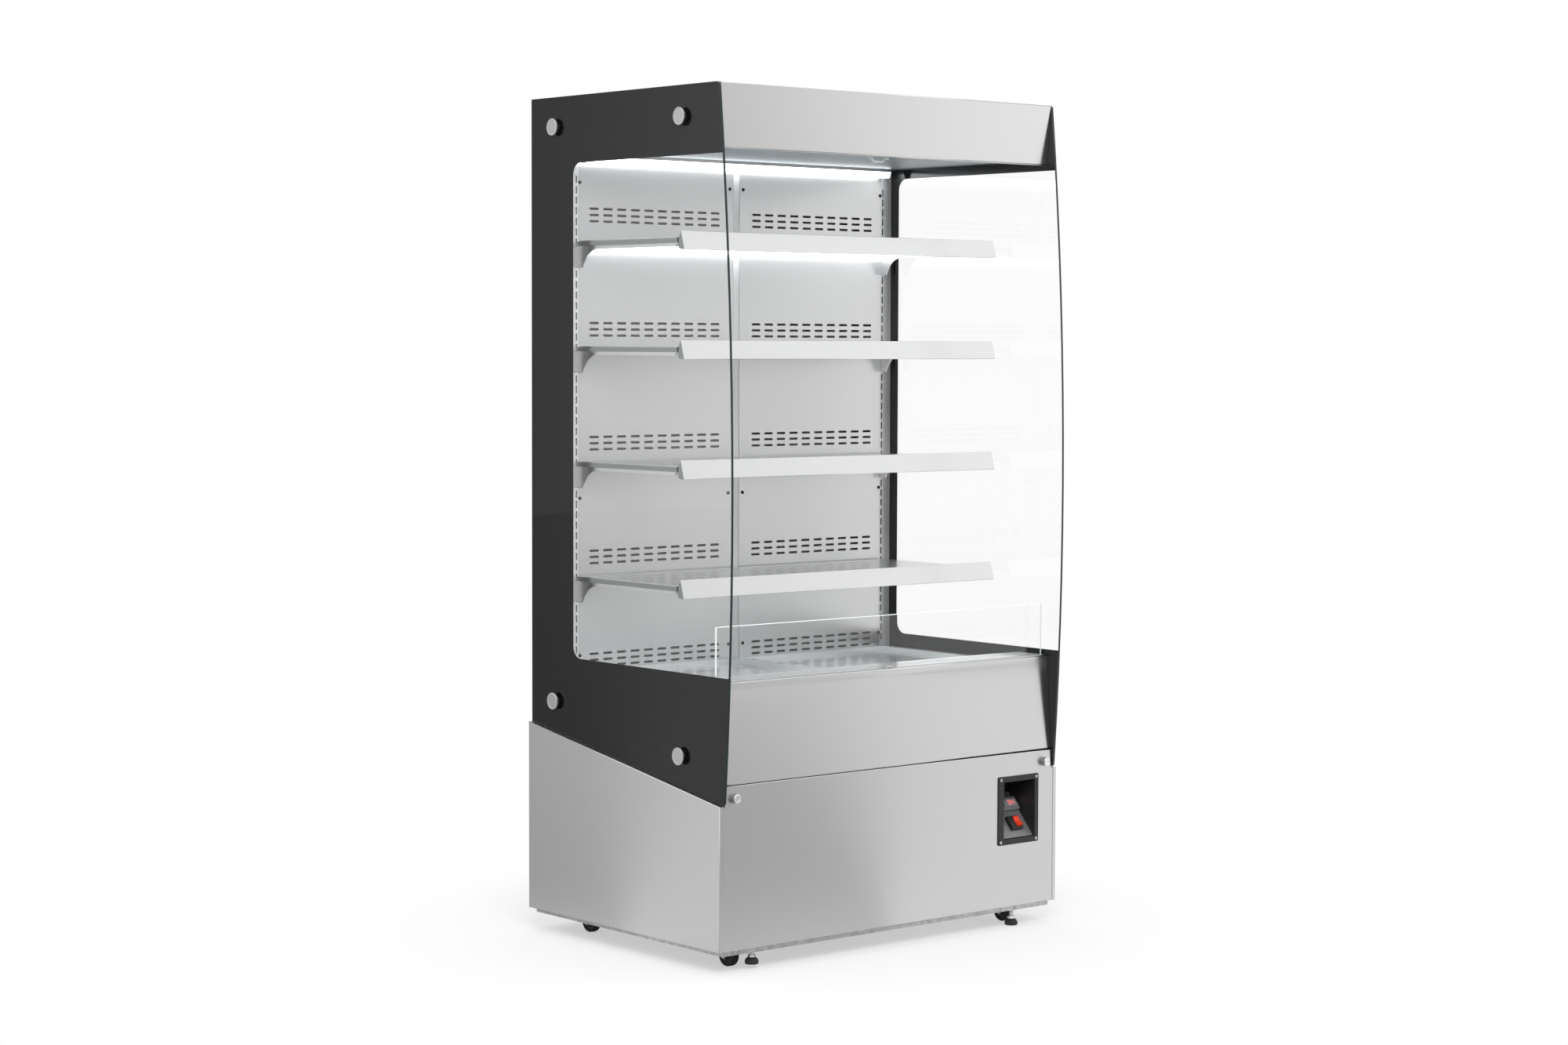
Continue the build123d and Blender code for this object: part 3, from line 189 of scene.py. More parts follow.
fade = ranged(nodes, links, far.outputs["Value"], 0.5, 1.0, 0.45, 1.1, True)
glow = nodes.new("ShaderNodeEmission")
links.new(tent_colour(nodes, links, tone, gloss), glow.inputs["Color"])
share = combined(nodes, links, "MULTIPLY", fade, direct)
seen = mix_shaders(nodes, links, share, skin.outputs[0], glow.outputs[0])
links.new(seen, nodes["Material Output"].inputs["Surface"])
floor_mesh.materials.append(pale)

for name, lamp_place, aim, size, power in (
        ("lamp_front_left", (-2.6, -3.4, 3.4), (0.0, 0.0, 0.9), (2.4, 2.4), 150.0),
        ("lamp_front_right", (3.2, -2.6, 2.2), (0.0, 0.0, 0.9), (1.8, 2.4), 30.0),
        ("lamp_top", (0.0, 0.4, 4.2), (0.0, 0.0, 0.0), (2.6, 2.6), 50.0)):
    data = bpy.data.lights.new(name, "AREA")
    data.shape = "RECTANGLE"
    data.size, data.size_y = size
    data.energy = power
    lamp = bpy.data.objects.new(name, data)
    lamp.visible_glossy = False
    lamp.visible_transmission = False
    lamp.location = lamp_place
    lamp.rotation_euler = (Vector(aim) - Vector(lamp_place)).to_track_quat("-Z", "Y").to_euler()
    bpy.context.scene.collection.objects.link(lamp)


# Base frame: a welded rim and pan in zinc-plated steel, with four posts, a cross rail, castor plates and
# foot plates. The castors' forks and the louvred grille behind the machine are of the same sheet.
def noise(nodes, links, vector, scale, detail):
    """A Noise Texture's output over a vector."""
    made = preset(nodes.new("ShaderNodeTexNoise"), {"Scale": scale, "Detail": detail})
    links.new(vector, made.inputs["Vector"])
    return made.outputs["Fac"]


def tinted(nodes, links, skin, factor, dark, light):
    """Colours a skin between two tones, by an output."""
    tint = nodes.new("ShaderNodeMix")
    tint.data_type = "RGBA"
    preset(tint, {"A": (*dark, 1.0), "B": (*light, 1.0)})
    links.new(factor, tint.inputs["Factor"])
    links.new(tint.outputs["Result"], skin.inputs["Base Color"])


def bumped(nodes, links, skin, height, strength, distance):
    """Gives a skin a relief, by an output."""
    bump = preset(nodes.new("ShaderNodeBump"), {"Strength": strength, "Distance": distance})
    links.new(height, bump.inputs["Height"])
    links.new(bump.outputs[0], skin.inputs["Normal"])


def steel(name, colour, rough, grain, depth=0.00004, uneven=0.06, brushing=0.0, vary=0.05, metal=1.0):
    """Steel sheet. The grain gives the pattern's density along X, Y and Z, in lines a metre."""
    made, nodes, links, skin = material(name)
    skin.inputs["Metallic"].default_value = metal
    if brushing:
        preset(skin, {"Anisotropic": brushing, "Anisotropic Rotation": 0.25})
        run = nodes.new("ShaderNodeTangent")
        run.direction_type = "RADIAL"
        run.axis = "Z"
        links.new(run.outputs[0], skin.inputs["Tangent"])
    place = nodes.new("ShaderNodeTexCoord").outputs["Object"]
    stretch = preset(nodes.new("ShaderNodeMapping"), {"Scale": grain})
    links.new(place, stretch.inputs["Vector"])
    lines = noise(nodes, links, stretch.outputs[0], 1.0, 4.0)
    cloud = noise(nodes, links, place, 3.5, 2.0)
    darker, lighter = [(1.0 - uneven) * c for c in colour], [(1.0 + uneven) * c for c in colour]
    tinted(nodes, links, skin, lines, darker, lighter)
    mixed = combined(nodes, links, "MULTIPLY_ADD", lines, 0.5, cloud)
    links.new(ranged(nodes, links, mixed, rough - vary, rough + vary, 0.4, 1.1), skin.inputs["Roughness"])
    bumped(nodes, links, skin, lines, 0.35, depth)
    return made


def dress(finish, *names):
    """Gives CAD nodes a finish."""
    for name in names:
        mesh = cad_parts[name].data
        mesh.materials.clear()
        mesh.materials.append(finish)


zinc, nodes, links, skin = material("zinc plate")
skin.inputs["Metallic"].default_value = 1.0
spangle = preset(nodes.new("ShaderNodeTexVoronoi"), {"Scale": 90.0})
links.new(nodes.new("ShaderNodeTexCoord").outputs["Object"], spangle.inputs["Vector"])
grey = nodes.new("ShaderNodeSeparateColor")
links.new(spangle.outputs["Color"], grey.inputs[0])
tinted(nodes, links, skin, grey.outputs[0], (0.42, 0.43, 0.44), (0.58, 0.59, 0.60))
links.new(ranged(nodes, links, grey.outputs[1], 0.32, 0.52), skin.inputs["Roughness"])
dress(zinc, "base_frame", "rear_castor_forks", "rear_grille", "castor_fork_front_left", "castor_fork_front_right")
plated = steel("bright plate", (0.86, 0.87, 0.88), 0.22, (400.0, 400.0, 400.0), 0.00001)


# Castor wheels: black rubber treads moulded on grey-black nylon centres, four of them, each turning on its
# fork's axle.
def piece_from(bm, name, finishes, body, replaced=()):
    """Makes a finished mesh into a piece that rides on a body and may stand for CAD nodes."""
    mesh = bpy.data.meshes.new(name)
    bm.to_mesh(mesh)
    bm.free()
    for finish in finishes:
        mesh.materials.append(finish)
    piece = bpy.data.objects.new(name, mesh)
    bpy.context.scene.collection.objects.link(piece)
    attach(piece, body)
    if replaced:
        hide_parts(*replaced)
    return piece


def turned(bm, outline, centre, along, steps=56, finish=0):
    """Spins an outline of (distance along, radius) about an axis through a centre, and gives its faces."""
    along = Vector(along)
    side = Vector((0, 0, 1)) if abs(along.z) < 0.5 else Vector((1, 0, 0))
    before = set(bm.faces)
    verts = [bm.verts.new(Vector(centre) + h * along + r * side) for h, r in outline]
    edges = [bm.edges.new(pair) for pair in zip(verts, verts[1:])]
    bmesh.ops.spin(bm, geom=verts + edges, cent=centre, axis=along, steps=steps, angle=2 * pi, use_merge=True,
                   use_duplicate=False)
    faces = [face for face in bm.faces if face not in before]
    bmesh.ops.remove_doubles(bm, verts=list({v for face in faces for v in face.verts}), dist=1e-6)
    faces = [face for face in bm.faces if face not in before]
    bmesh.ops.recalc_face_normals(bm, faces=faces)
    for face in faces:
        face.smooth = True
        face.material_index = finish
    return faces


def creased(bm, degrees):
    """Keeps each edge smooth unless its faces turn by more than an angle."""
    for edge in bm.edges:
        edge.smooth = edge.calc_face_angle(0.0) < radians(degrees)


def plain(name, dark, light, rough, scale=600.0, bumpy=0.0, metal=0.0):
    """Paint, plastic or rubber with a fine speckle between two tones, and a grained skin where it is bumpy."""
    made, nodes, links, skin = material(name)
    skin.inputs["Metallic"].default_value = metal
    speckle = noise(nodes, links, nodes.new("ShaderNodeTexCoord").outputs["Object"], scale, 3.0)
    tinted(nodes, links, skin, speckle, dark, light)
    links.new(ranged(nodes, links, speckle, rough - 0.06, rough + 0.06), skin.inputs["Roughness"])
    if bumpy:
        bumped(nodes, links, skin, speckle, 0.5, bumpy)
    return made


def skin_of(finish):
    """A material's Principled shader."""
    return finish.node_tree.nodes["Principled BSDF"]


rubber = plain("black rubber", (0.010, 0.010, 0.011), (0.022, 0.022, 0.024), 0.55, 900.0, 0.00005)
nylon = plain("dark nylon", (0.018, 0.018, 0.020), (0.030, 0.030, 0.033), 0.38, 700.0, 0.00003)
for dark in (rubber, nylon):
    preset(skin_of(dark), {"Specular IOR Level": 0.25})
bore = 0.00405
tread = [(-0.0078, 0.0212), (-0.0093, 0.0222), (-0.0088, 0.0236), (-0.0070, 0.0246), (-0.0030, 0.02495)]
tread += [(-h, r) for h, r in reversed(tread)]
wheel_centre = [(0.0078, 0.0212), (0.0074, 0.0190), (0.0060, 0.0184), (0.0052, 0.0120), (0.0060, 0.0084),
                (0.0091, 0.0080), (0.0095, 0.0074), (0.0095, bore + 0.0006), (0.0090, bore)]
wheel_centre += [(-h, r) for h, r in reversed(wheel_centre)]
for end in ("front", "back"):
    for side in ("left", "right"):
        name = f"castor_wheel_{end}_{side}"
        low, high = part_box(name)
        bm = bmesh.new()
        turned(bm, tread, (low + high) / 2, (1, 0, 0))
        turned(bm, wheel_centre, (low + high) / 2, (1, 0, 0), finish=1)
        bmesh.ops.remove_doubles(bm, verts=bm.verts, dist=1e-6)
        bmesh.ops.recalc_face_normals(bm, faces=bm.faces)
        creased(bm, 28)
        piece_from(bm, f"wheel_{end}_{side}", [rubber, nylon], name, [name])


# Levelling feet: black nylon domes with ribs for the fingers, each moulded on a zinc-plated threaded stud. The
# stud screws into a foot plate of the base frame, and a nut locks it.
stud_radius, thread_pitch, thread_depth, stud_foot = 0.005, 0.0015, 0.0007, 0.0145
rib_count, rib_depth, rib_radius, rib_low, rib_high = 18, 0.0009, 0.0105, 0.002, 0.0125
nut_radius, nut_height, nut_middle = 0.0086, 0.005, 0.0171
dome = [(0.0, 0.0), (0.0, 0.0136), (0.0006, 0.0144), (0.0030, 0.0150), (0.0062, 0.0150), (0.0092, 0.0138),
        (0.0120, 0.0114), (0.0144, 0.0088), (0.0150, 0.0080), (0.0150, 0.0)]
for side in ("left", "right"):
    name = f"levelling_foot_{side}"
    low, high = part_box(name)
    foot, tall = Vector(((low.x + high.x) / 2, (low.y + high.y) / 2, low.z)), high.z - low.z
    bm = bmesh.new()
    turned(bm, dome, foot, (0, 0, 1), 72)
    for vert in bm.verts:
        out = vert.co - foot
        flat = Vector((out.x, out.y, 0.0))
        if flat.length > rib_radius and rib_low < out.z < rib_high:
            vert.co -= flat.normalized() * rib_depth * max(0.0, cos(rib_count * atan2(out.y, out.x))) ** 2
    stud, height = [(stud_foot, 0.0)], stud_foot
    while height < tall - 0.0016:
        stud += [(height, stud_radius - thread_depth), (height + thread_pitch / 2, stud_radius)]
        height += thread_pitch
    stud += [(tall - 0.0008, stud_radius - thread_depth), (tall, 0.0035), (tall, 0.0)]
    turned(bm, stud, foot, (0, 0, 1), 32, 1)
    nut = bmesh.ops.create_cone(bm, cap_ends=True, segments=6, radius1=nut_radius, radius2=nut_radius,
                                depth=nut_height, matrix=Matrix.Translation(foot + Vector((0, 0, nut_middle))))
    for face in {face for vert in nut["verts"] for face in vert.link_faces}:
        face.material_index = 1
    creased(bm, 35)
    piece_from(bm, f"foot_{side}", [nylon, plated], name, [name])


# Folded steel outside panels: the sides of the base and the lower front panel. They are stainless sheet
# with a fine grain, folded with small round bends and left unpainted.
brushed = steel("brushed steel", (0.70, 0.70, 0.695), 0.27, (0.9, 0.9, 1500.0), 0.000001, 0.004, 0.7, 0.005)
outer_bend = 0.0014


def copied(node):
    """A copy of a CAD node's mesh, with its doubles merged."""
    bm = bmesh.new()
    bm.from_mesh(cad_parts[node].data)
    bmesh.ops.remove_doubles(bm, verts=bm.verts, dist=1e-6)
    return bm


def rounded(bm, edges, radius, segments=3):
    """Rounds edges, and gives the new faces."""
    made = bmesh.ops.bevel(bm, geom=edges, offset=radius, segments=segments, affect="EDGES", profile=0.5,
                           material=-1)
    return made["faces"]


def bent(node, name, finish, on_bend, body="cabinet"):
    """A sheet piece of a CAD node's form, with round bends along the edges whose two ends are both on_bend."""
    bm = copied(node)
    bmesh.ops.dissolve_limit(bm, angle_limit=radians(1), verts=bm.verts, edges=bm.edges)
    bends = [edge for edge in bm.edges if all(on_bend(vert.co) for vert in edge.verts) and edge.is_manifold
             and edge.calc_face_angle(0.0) > radians(30) and edge.calc_length() > 0.02]
    for face in rounded(bm, bends, outer_bend):
        face.smooth = True
    piece_from(bm, name, [finish], body, [node])


panel_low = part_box("service_panel")[0]
base_front = panel_low.y
bent("service_panel", "lower_front", brushed, lambda place: place.y < base_front + 0.0002,
     "service_panel")
side_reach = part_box("base_side_right")[1].x
for side in ("left", "right"):
    bent(f"base_side_{side}", f"base_panel_{side}", brushed,
         lambda place: abs(place.x) > side_reach - 0.0002 and place.z > panel_low.z - 0.02)


# Thumbscrews: stainless heads on threaded shanks, turned from bar and knurled. Two of them hold the lower front
# panel, one at each upper corner.
bright = steel("bright steel", (0.95, 0.95, 0.95), 0.25, (700.0, 700.0, 700.0), 0.00002)
# The head's sides take a darker copy of the steel on its face: painted shade.
shaded_knurl = steel("knurled steel", (0.38, 0.38, 0.385), 0.34, (700.0, 700.0, 700.0), 0.00002)
knurl_count, knurl_depth, shank_radius = 24, 0.05, 0.003
for side in ("left", "right"):
    name = f"thumbscrew_{side}"
    low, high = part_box(name)
    middle = Vector(((low.x + high.x) / 2, 0.0, (low.z + high.z) / 2))
    head_radius = (high.x - low.x) / 2
    tip, face_y, seat = high.y, low.y, base_front - 0.0003
    outline = [(face_y + 0.0008, 0.0), (face_y + 0.0008, head_radius - 0.0042), (face_y, head_radius - 0.0034),
               (face_y, head_radius - 0.0016), (face_y + 0.0012, head_radius), (seat - 0.0032, head_radius),
               (seat - 0.0024, head_radius - 0.0012), (seat, head_radius - 0.0016), (seat, shank_radius),
               (tip - 0.0008, shank_radius), (tip, 0.0022), (tip, 0.0)]
    bm = bmesh.new()
    turned(bm, outline, middle, (0, 1, 0), 96)
    for vert in bm.verts:
        out = vert.co - middle
        if hypot(out.x, out.z) > head_radius - 0.0002:
            dent = 1.0 - knurl_depth * (cos(knurl_count * atan2(out.z, out.x)) > 0.3)
            vert.co.x, vert.co.z = middle.x + out.x * dent, middle.z + out.z * dent
    # Faces behind the head's front face take the darker steel, which paints shade on the knurled side.
    for face in bm.faces:
        face.material_index = int(face.calc_center_median().y > face_y + 0.0013)
    creased(bm, 24)
    piece_from(bm, f"knurled_screw_{side}", [bright, shaded_knurl], name, [name])


# Side glasses: toughened panes with polished edges, clamped by caps. A black enamel border is fired on the
# inner face round a clear window, which runs out at the front and has round corners at the back.
def clear_glass(name, tint, edge, facing):
    """Clear glass that lets lamp light straight through, with its edges drawn opaque in a tone of their own, which
    paints the look that refraction gives a polished edge.
    """
    made, nodes, links, skin = material(name)
    preset(skin, {"Base Color": (*tint, 1.0), "Transmission Weight": 1.0, "Roughness": 0.0, "IOR": 1.45})
    rim = preset(nodes.new("ShaderNodeBsdfPrincipled"), {"Base Color": (*edge, 1.0), "Roughness": 0.15})
    outward = nodes.new("ShaderNodeSeparateXYZ")
    links.new(nodes.new("ShaderNodeTexCoord").outputs["Normal"], outward.inputs[0])
    turned_out = combined(nodes, links, "ABSOLUTE", outward.outputs[facing])
    on_face = combined(nodes, links, "GREATER_THAN", turned_out, 0.8)
    glass = mix_shaders(nodes, links, on_face, rim.outputs[0], skin.outputs[0])
    shadow = nodes.new("ShaderNodeLightPath").outputs["Is Shadow Ray"]
    through = nodes.new("ShaderNodeBsdfTransparent").outputs[0]
    links.new(mix_shaders(nodes, links, shadow, glass, through), nodes["Material Output"].inputs["Surface"])
    return made


# The side panes' near-black edge tone is painted shade, standing in for the dark that refraction shows at a
# polished edge.
side_pane = clear_glass("side pane", (1.0, 1.0, 1.0), (0.012, 0.02, 0.02), "X")
dress(side_pane, "side_glass_left", "side_glass_right")
enamel_black = (0.008, 0.008, 0.0092)
enamel = plain("black enamel", enamel_black, enamel_black, 0.12, 60.0)
enamel_under_glass = plain("black enamel under glass", enamel_black, enamel_black, 0.9, 60.0)
preset(skin_of(enamel_under_glass), {"Specular IOR Level": 0.0})
window_front, window_back, window_corner = base_front - 0.06, base_front + 0.534, 0.027
window_low, window_high = 0.6315, 1.730
enamel_gauge, enamel_depth = 0.0005, 0.0002
for side, outward in (("left", -1.0), ("right", 1.0)):
    low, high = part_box(f"side_glass_{side}")
    glass_inner = min(abs(low.x), abs(high.x))
    bm = copied(f"side_glass_{side}")
    thinner = enamel_gauge / (high.x - low.x)
    bmesh.ops.scale(bm, verts=bm.verts, vec=(thinner, 1.0, 1.0))
    inner_now = outward * glass_inner * thinner
    shift = outward * (glass_inner + enamel_depth - enamel_gauge) - inner_now
    bmesh.ops.translate(bm, verts=bm.verts, vec=(shift, 0.0, 0.0))
    border = piece_from(bm, f"glass_border_{side}", [enamel, enamel_under_glass], "cabinet")
    bm = bmesh.new()
    bmesh.ops.create_cube(bm, size=1.0)
    reach = window_back - window_front
    bmesh.ops.scale(bm, verts=bm.verts, vec=(0.02, reach, window_high - window_low))
    corners = [edge for edge in bm.edges if all(vert.co.y > 0.0 for vert in edge.verts)
               and abs(edge.verts[0].co.x - edge.verts[1].co.x) > 0.01]
    rounded(bm, corners, window_corner, 10)
    middle = (outward * glass_inner, window_back - reach / 2, (window_low + window_high) / 2)
    bmesh.ops.translate(bm, verts=bm.verts, vec=middle)
    cutter_mesh = bpy.data.meshes.new("window_cutter")
    bm.to_mesh(cutter_mesh)
    bm.free()
    cutter = bpy.data.objects.new("window_cutter", cutter_mesh)
    bpy.context.scene.collection.objects.link(cutter)
    window = border.modifiers.new("window", "BOOLEAN")
    window.object = cutter
    window.solver = "EXACT"
    bpy.context.view_layer.update()
    solved = bpy.data.meshes.new_from_object(border.evaluated_get(bpy.context.evaluated_depsgraph_get()))
    border.modifiers.clear()
    border.data = solved
    for face in solved.polygons:
        face.material_index = int(outward * face.normal.x > 0.5)
    bpy.data.objects.remove(cutter)


# Glass caps: turned stainless buttons on studs, eight of them. They clamp the side glasses to the body. The
# turned finish has fine rings round the centre of the piece's own map, which is in metres.
turned_finish, nodes, links, skin = material("turned steel")
preset(skin, {"Metallic": 1.0, "Base Color": (0.62, 0.62, 0.62, 1.0)})
radius = nodes.new("ShaderNodeVectorMath")
radius.operation = "LENGTH"
links.new(nodes.new("ShaderNodeUVMap").outputs[0], radius.inputs[0])
rings = preset(nodes.new("ShaderNodeTexNoise"), {"Scale": 2600.0, "Detail": 2.0})
rings.noise_dimensions = "1D"
links.new(radius.outputs["Value"], rings.inputs["W"])
links.new(ranged(nodes, links, rings.outputs["Fac"], 0.16, 0.34), skin.inputs["Roughness"])
bumped(nodes, links, skin, rings.outputs["Fac"], 0.4, 0.00004)
caps_low, caps_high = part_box("glass_caps")
cap_face, cap_gauge, cap_radius, collar_radius, cap_stud = caps_high.x, 0.005, 0.0193, 0.011, 0.006
cap_back, glass_face = cap_face - cap_gauge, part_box("side_glass_right")[1].x
stud_length = 0.030
stud_end = cap_face - stud_length
cap_outline = [(cap_face - 0.0005, 0.0), (cap_face - 0.0005, cap_radius - 0.0042), (cap_face, cap_radius - 0.0034),
               (cap_face, cap_radius - 0.0009), (cap_face - 0.0003, cap_radius - 0.0003),
               (cap_face - 0.0009, cap_radius), (cap_back + 0.0004, cap_radius), (cap_back, cap_radius - 0.0004),
               (cap_back, collar_radius), (glass_face, collar_radius), (glass_face, cap_stud),
               (stud_end, cap_stud), (stud_end - 0.001, 0.0)]
cap_places = [(0.140, caps_high.z - cap_radius), (0.5955, caps_high.z - cap_radius),
              (0.140, caps_low.z + cap_radius), (0.5955, 0.53026)]
bm = bmesh.new()
maps = bm.loops.layers.uv.new("UVMap")
for outward in (-1.0, 1.0):
    for depth, height in cap_places:
        centre = Vector((0.0, base_front + depth, height))
        for face in turned(bm, cap_outline, centre, (outward, 0, 0), 64):
            for loop in face.loops:
                loop[maps].uv = (loop.vert.co.y - centre.y, loop.vert.co.z - height)
creased(bm, 28)
piece_from(bm, "caps", [turned_finish], "cabinet", ["glass_caps"])


# Machine space: the compressor on its rubber feet, the condenser coil with its fan, shroud and motor, the
# electrical box and the drain pan. They stand on the base frame's pan, behind the lower front panel.
dress(plain("black enamel paint", (0.010, 0.010, 0.011), (0.018, 0.018, 0.020), 0.22, 40.0, 0.0001), "compressor")
dress(steel("coil aluminium and copper", (0.70, 0.68, 0.66), 0.35, (300.0, 300.0, 30.0), 0.00005, 0.1),
      "condenser_coil", "evaporator_coil")
dress(zinc, "condenser_shroud", "evaporator_fan_plate")
dress(nylon, "condenser_fan", "evaporator_fan_left", "evaporator_fan_right")
dress(plain("grey box paint", (0.33, 0.34, 0.35), (0.37, 0.38, 0.39), 0.42, 350.0, 0.00008), "electrical_box")
dress(plain("pale pan plastic", (0.50, 0.51, 0.52), (0.56, 0.57, 0.58), 0.40, 500.0, 0.00005), "drain_pan")


# Foamed tub and back: white moulded liner round a foamed core. The tub holds the coil and its fans under the
# deck, and the back stands behind the air duct.
liner = plain("white liner", (0.74, 0.75, 0.76), (0.79, 0.80, 0.81), 0.38, 260.0, 0.00006)
dress(liner, "tank", "insulated_back")


# Slotted uprights and air panels: satin stainless sheet, pierced in a press. The uprights carry the shelves,
# and the two panels between them let the cold air out of the duct in rows of round-ended slots.
soft_grain, soft_depth = (14.0, 14.0, 14.0), 0.000004
satin = steel("satin steel", (0.83, 0.835, 0.84), 0.28, soft_grain, soft_depth, 0.003, 0.0, 0.0, 0.85)
nodes, links = satin.node_tree.nodes, satin.node_tree.links
bulge = noise(nodes, links, nodes["Texture Coordinate"].outputs["Object"], 2.2, 0.0)
bumped(nodes, links, skin_of(satin), bulge, 1.0, 0.004)
upright_steel = steel("upright steel", (0.90, 0.905, 0.91), 0.36, soft_grain, soft_depth, 0.008, 0.0, 0.01, 0.4)
strip_half, upright_edge = 0.0094, 0.4510
upright_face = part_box("uprights")[0].y
bent("uprights", "slotted_uprights", upright_steel,
     lambda place: place.y < upright_face + 0.0002 and min(
         abs(abs(place.x) - strip_half), abs(abs(place.x) - upright_edge)) < 0.0003)
dress(plain("blackened screw", (0.015, 0.015, 0.016), (0.03, 0.03, 0.032), 0.35, 800.0, 0.00003, 0.6),
      "panel_screws")
sheet_gauge, sheet_bend = 0.0015, 0.0016


def slotted(outline, slots):
    """A flat face on X and Y with round-ended slots (middle and size on each axis), and its outline's corners."""
    bm = bmesh.new()
    rim = [bm.verts.new((x, y, 0.0)) for x, y in outline]
    for pair in zip(rim, rim[1:] + rim[:1]):
        bm.edges.new(pair)
    turn = Matrix.Rotation(pi / 12, 4, "Z")
    for x, y, across, along in slots:
        radius = min(across, along) / 2
        ring = bmesh.ops.create_circle(bm, segments=12, radius=radius, matrix=turn)
        for vert in ring["verts"]:
            vert.co.x += x + copysign(across / 2 - radius, vert.co.x)
            vert.co.y += y + copysign(along / 2 - radius, vert.co.y)
    bmesh.ops.triangle_fill(bm, edges=bm.edges[:], use_dissolve=False, use_beauty=False)
    bmesh.ops.reverse_faces(bm, faces=[face for face in bm.faces if face.normal.z <= 0.0])
    return bm, rim


slot_step, slot_long, slot_tall, slot_row, slot_margin = 0.0386, 0.026, 0.0055, 0.0139, 0.0433
slots_top, slot_groups = 1.752, (0.1194, 0.3743, 0.6295, 0.8852, 1.1179)
for side, outward in (("left", -1.0), ("right", 1.0)):
    low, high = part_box(f"air_panel_{side}")
    outer, inner = max(abs(low.x), abs(high.x)), min(abs(low.x), abs(high.x))
    first = outer + 0.0003 - slot_margin
    columns = int((first - inner - slot_margin + 0.0003) / slot_step) + 1
    heights = [slots_top - drop - slot_row * row for drop in slot_groups for row in range(3)]
    slots = [(outward * (first - slot_step * i), height, slot_long, slot_tall)
             for height in heights if height - slot_tall > low.z for i in range(columns)]
    corners = [(low.x, low.z), (high.x, low.z), (high.x, high.z), (low.x, high.z)]
    bm = slotted(corners, slots)[0]
    bmesh.ops.solidify(bm, geom=bm.faces[:], thickness=sheet_gauge)
    bmesh.ops.rotate(bm, verts=bm.verts, cent=(0, 0, 0), matrix=Matrix.Rotation(pi / 2, 3, "X"))
    bmesh.ops.translate(bm, verts=bm.verts, vec=(0.0, low.y, 0.0))
    piece_from(bm, f"air_wall_{side}", [satin], "cabinet", [f"air_panel_{side}"])


# Canopy: a folded steel box over the ceiling sheet, with a brushed fascia in front. Cold air comes down
# through the ceiling's slots, and the night curtain through a long one near the front.
ceiling_steel = steel("ceiling steel", (0.45, 0.49, 0.51), 0.45, soft_grain, soft_depth, 0.008, 0.0, 0.01)
fascia_steel = steel("fascia steel", (0.77, 0.77, 0.765), 0.27, (0.9, 0.9, 1500.0), 0.000001, 0.004, 0.7, 0.005)
dress(ceiling_steel, "ceiling_liner", "canopy_box")
low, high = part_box("canopy_fascia")
body_half = high.x


def drawn(bm, grown, move):
    """Moves what an extrusion has grown, and gives its vertices."""
    verts = [item for item in grown["geom"] if isinstance(item, bmesh.types.BMVert)]
    bmesh.ops.translate(bm, verts=verts, vec=move)
    return verts


def folded(path, bend, segments=3):
    """A folded sheet as wide as the body: a path of (depth, height) corners with round bends, its gauge inside."""
    bm = bmesh.new()
    verts = [bm.verts.new((-body_half, base_front + depth, height)) for depth, height in path]
    edges = [bm.edges.new(pair) for pair in zip(verts, verts[1:])]
    drawn(bm, bmesh.ops.extrude_edge_only(bm, edges=edges), (2 * body_half, 0.0, 0.0))
    rounded(bm, [edge for edge in bm.edges if edge.is_manifold], bend, segments)
    bmesh.ops.solidify(bm, geom=bm.faces[:], thickness=-sheet_gauge)
    for face in bm.faces:
        face.smooth = face.calc_area() < 6.0 * bend * body_half / segments
    bmesh.ops.recalc_face_normals(bm, faces=bm.faces)
    return bm


fascia = folded([(high.y - base_front, high.z), (low.y - base_front, high.z), (0.030, low.z), (0.043, low.z)],
                0.0025)
piece_from(fascia, "fascia", [fascia_steel], "cabinet", ["canopy_fascia"])


# LED battens: opal covers in shallow aluminium trays, one at the back of the ceiling and one under the top
# shelf.
cover, nodes, links, skin = material("lit opal cover")
preset(skin, {"Base Color": (0.9, 0.9, 0.9, 1.0), "Roughness": 0.35, "Emission Color": (0.93, 0.98, 1.0, 1.0),
              "Emission Strength": 4.5})
ripple = preset(nodes.new("ShaderNodeTexWave"), {"Scale": 120.0})
ripple.bands_direction = "X"
links.new(nodes.new("ShaderNodeTexCoord").outputs["Object"], ripple.inputs["Vector"])
bumped(nodes, links, skin, ripple.outputs["Fac"], 0.3, 0.0002)
satin_aluminium = steel("satin aluminium", (0.72, 0.72, 0.73), 0.35, (5.0, 900.0, 900.0), 0.00002, 0.03)


def bar_along_x(bm, section, start, length):
    """Adds a bar along X with a section of (y, z) points, and gives its faces."""
    ring = [bm.verts.new((start, y, z)) for y, z in section]
    grown = bmesh.ops.extrude_face_region(bm, geom=[bm.faces.new(ring)])
    made = set(ring + drawn(bm, grown, (length, 0.0, 0.0)))
    return [face for face in bm.faces if made.issuperset(face.verts)]


lamp_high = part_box("lamps")[1]
tray_foot, cover_edge, cover_face = 0.0065, 0.0188, 0.020
batten_half = [(0.0150, 0.0), (0.0150, tray_foot), (0.0140, tray_foot), (0.0090, cover_edge), (0.0078, cover_face)]
batten = [(-0.0150, 0.0)] + batten_half + [(-y, drop) for y, drop in reversed(batten_half[1:])]
bm = bmesh.new()
for depth, height, reach in ((0.540, lamp_high.z, lamp_high.x), (0.528, 1.5582, 0.4513)):
    section = [(base_front + depth + y, height - drop) for y, drop in batten]
    bar_along_x(bm, section, -reach, 2 * reach)
bmesh.ops.recalc_face_normals(bm, faces=bm.faces)
for face in bm.faces:
    face.material_index = int(abs(face.normal.x) < 0.5 and face.normal.z < -0.2 and face.calc_area() > 0.0005)
piece_from(bm, "lamp_battens", [satin_aluminium, cover], "cabinet", ["lamps"])


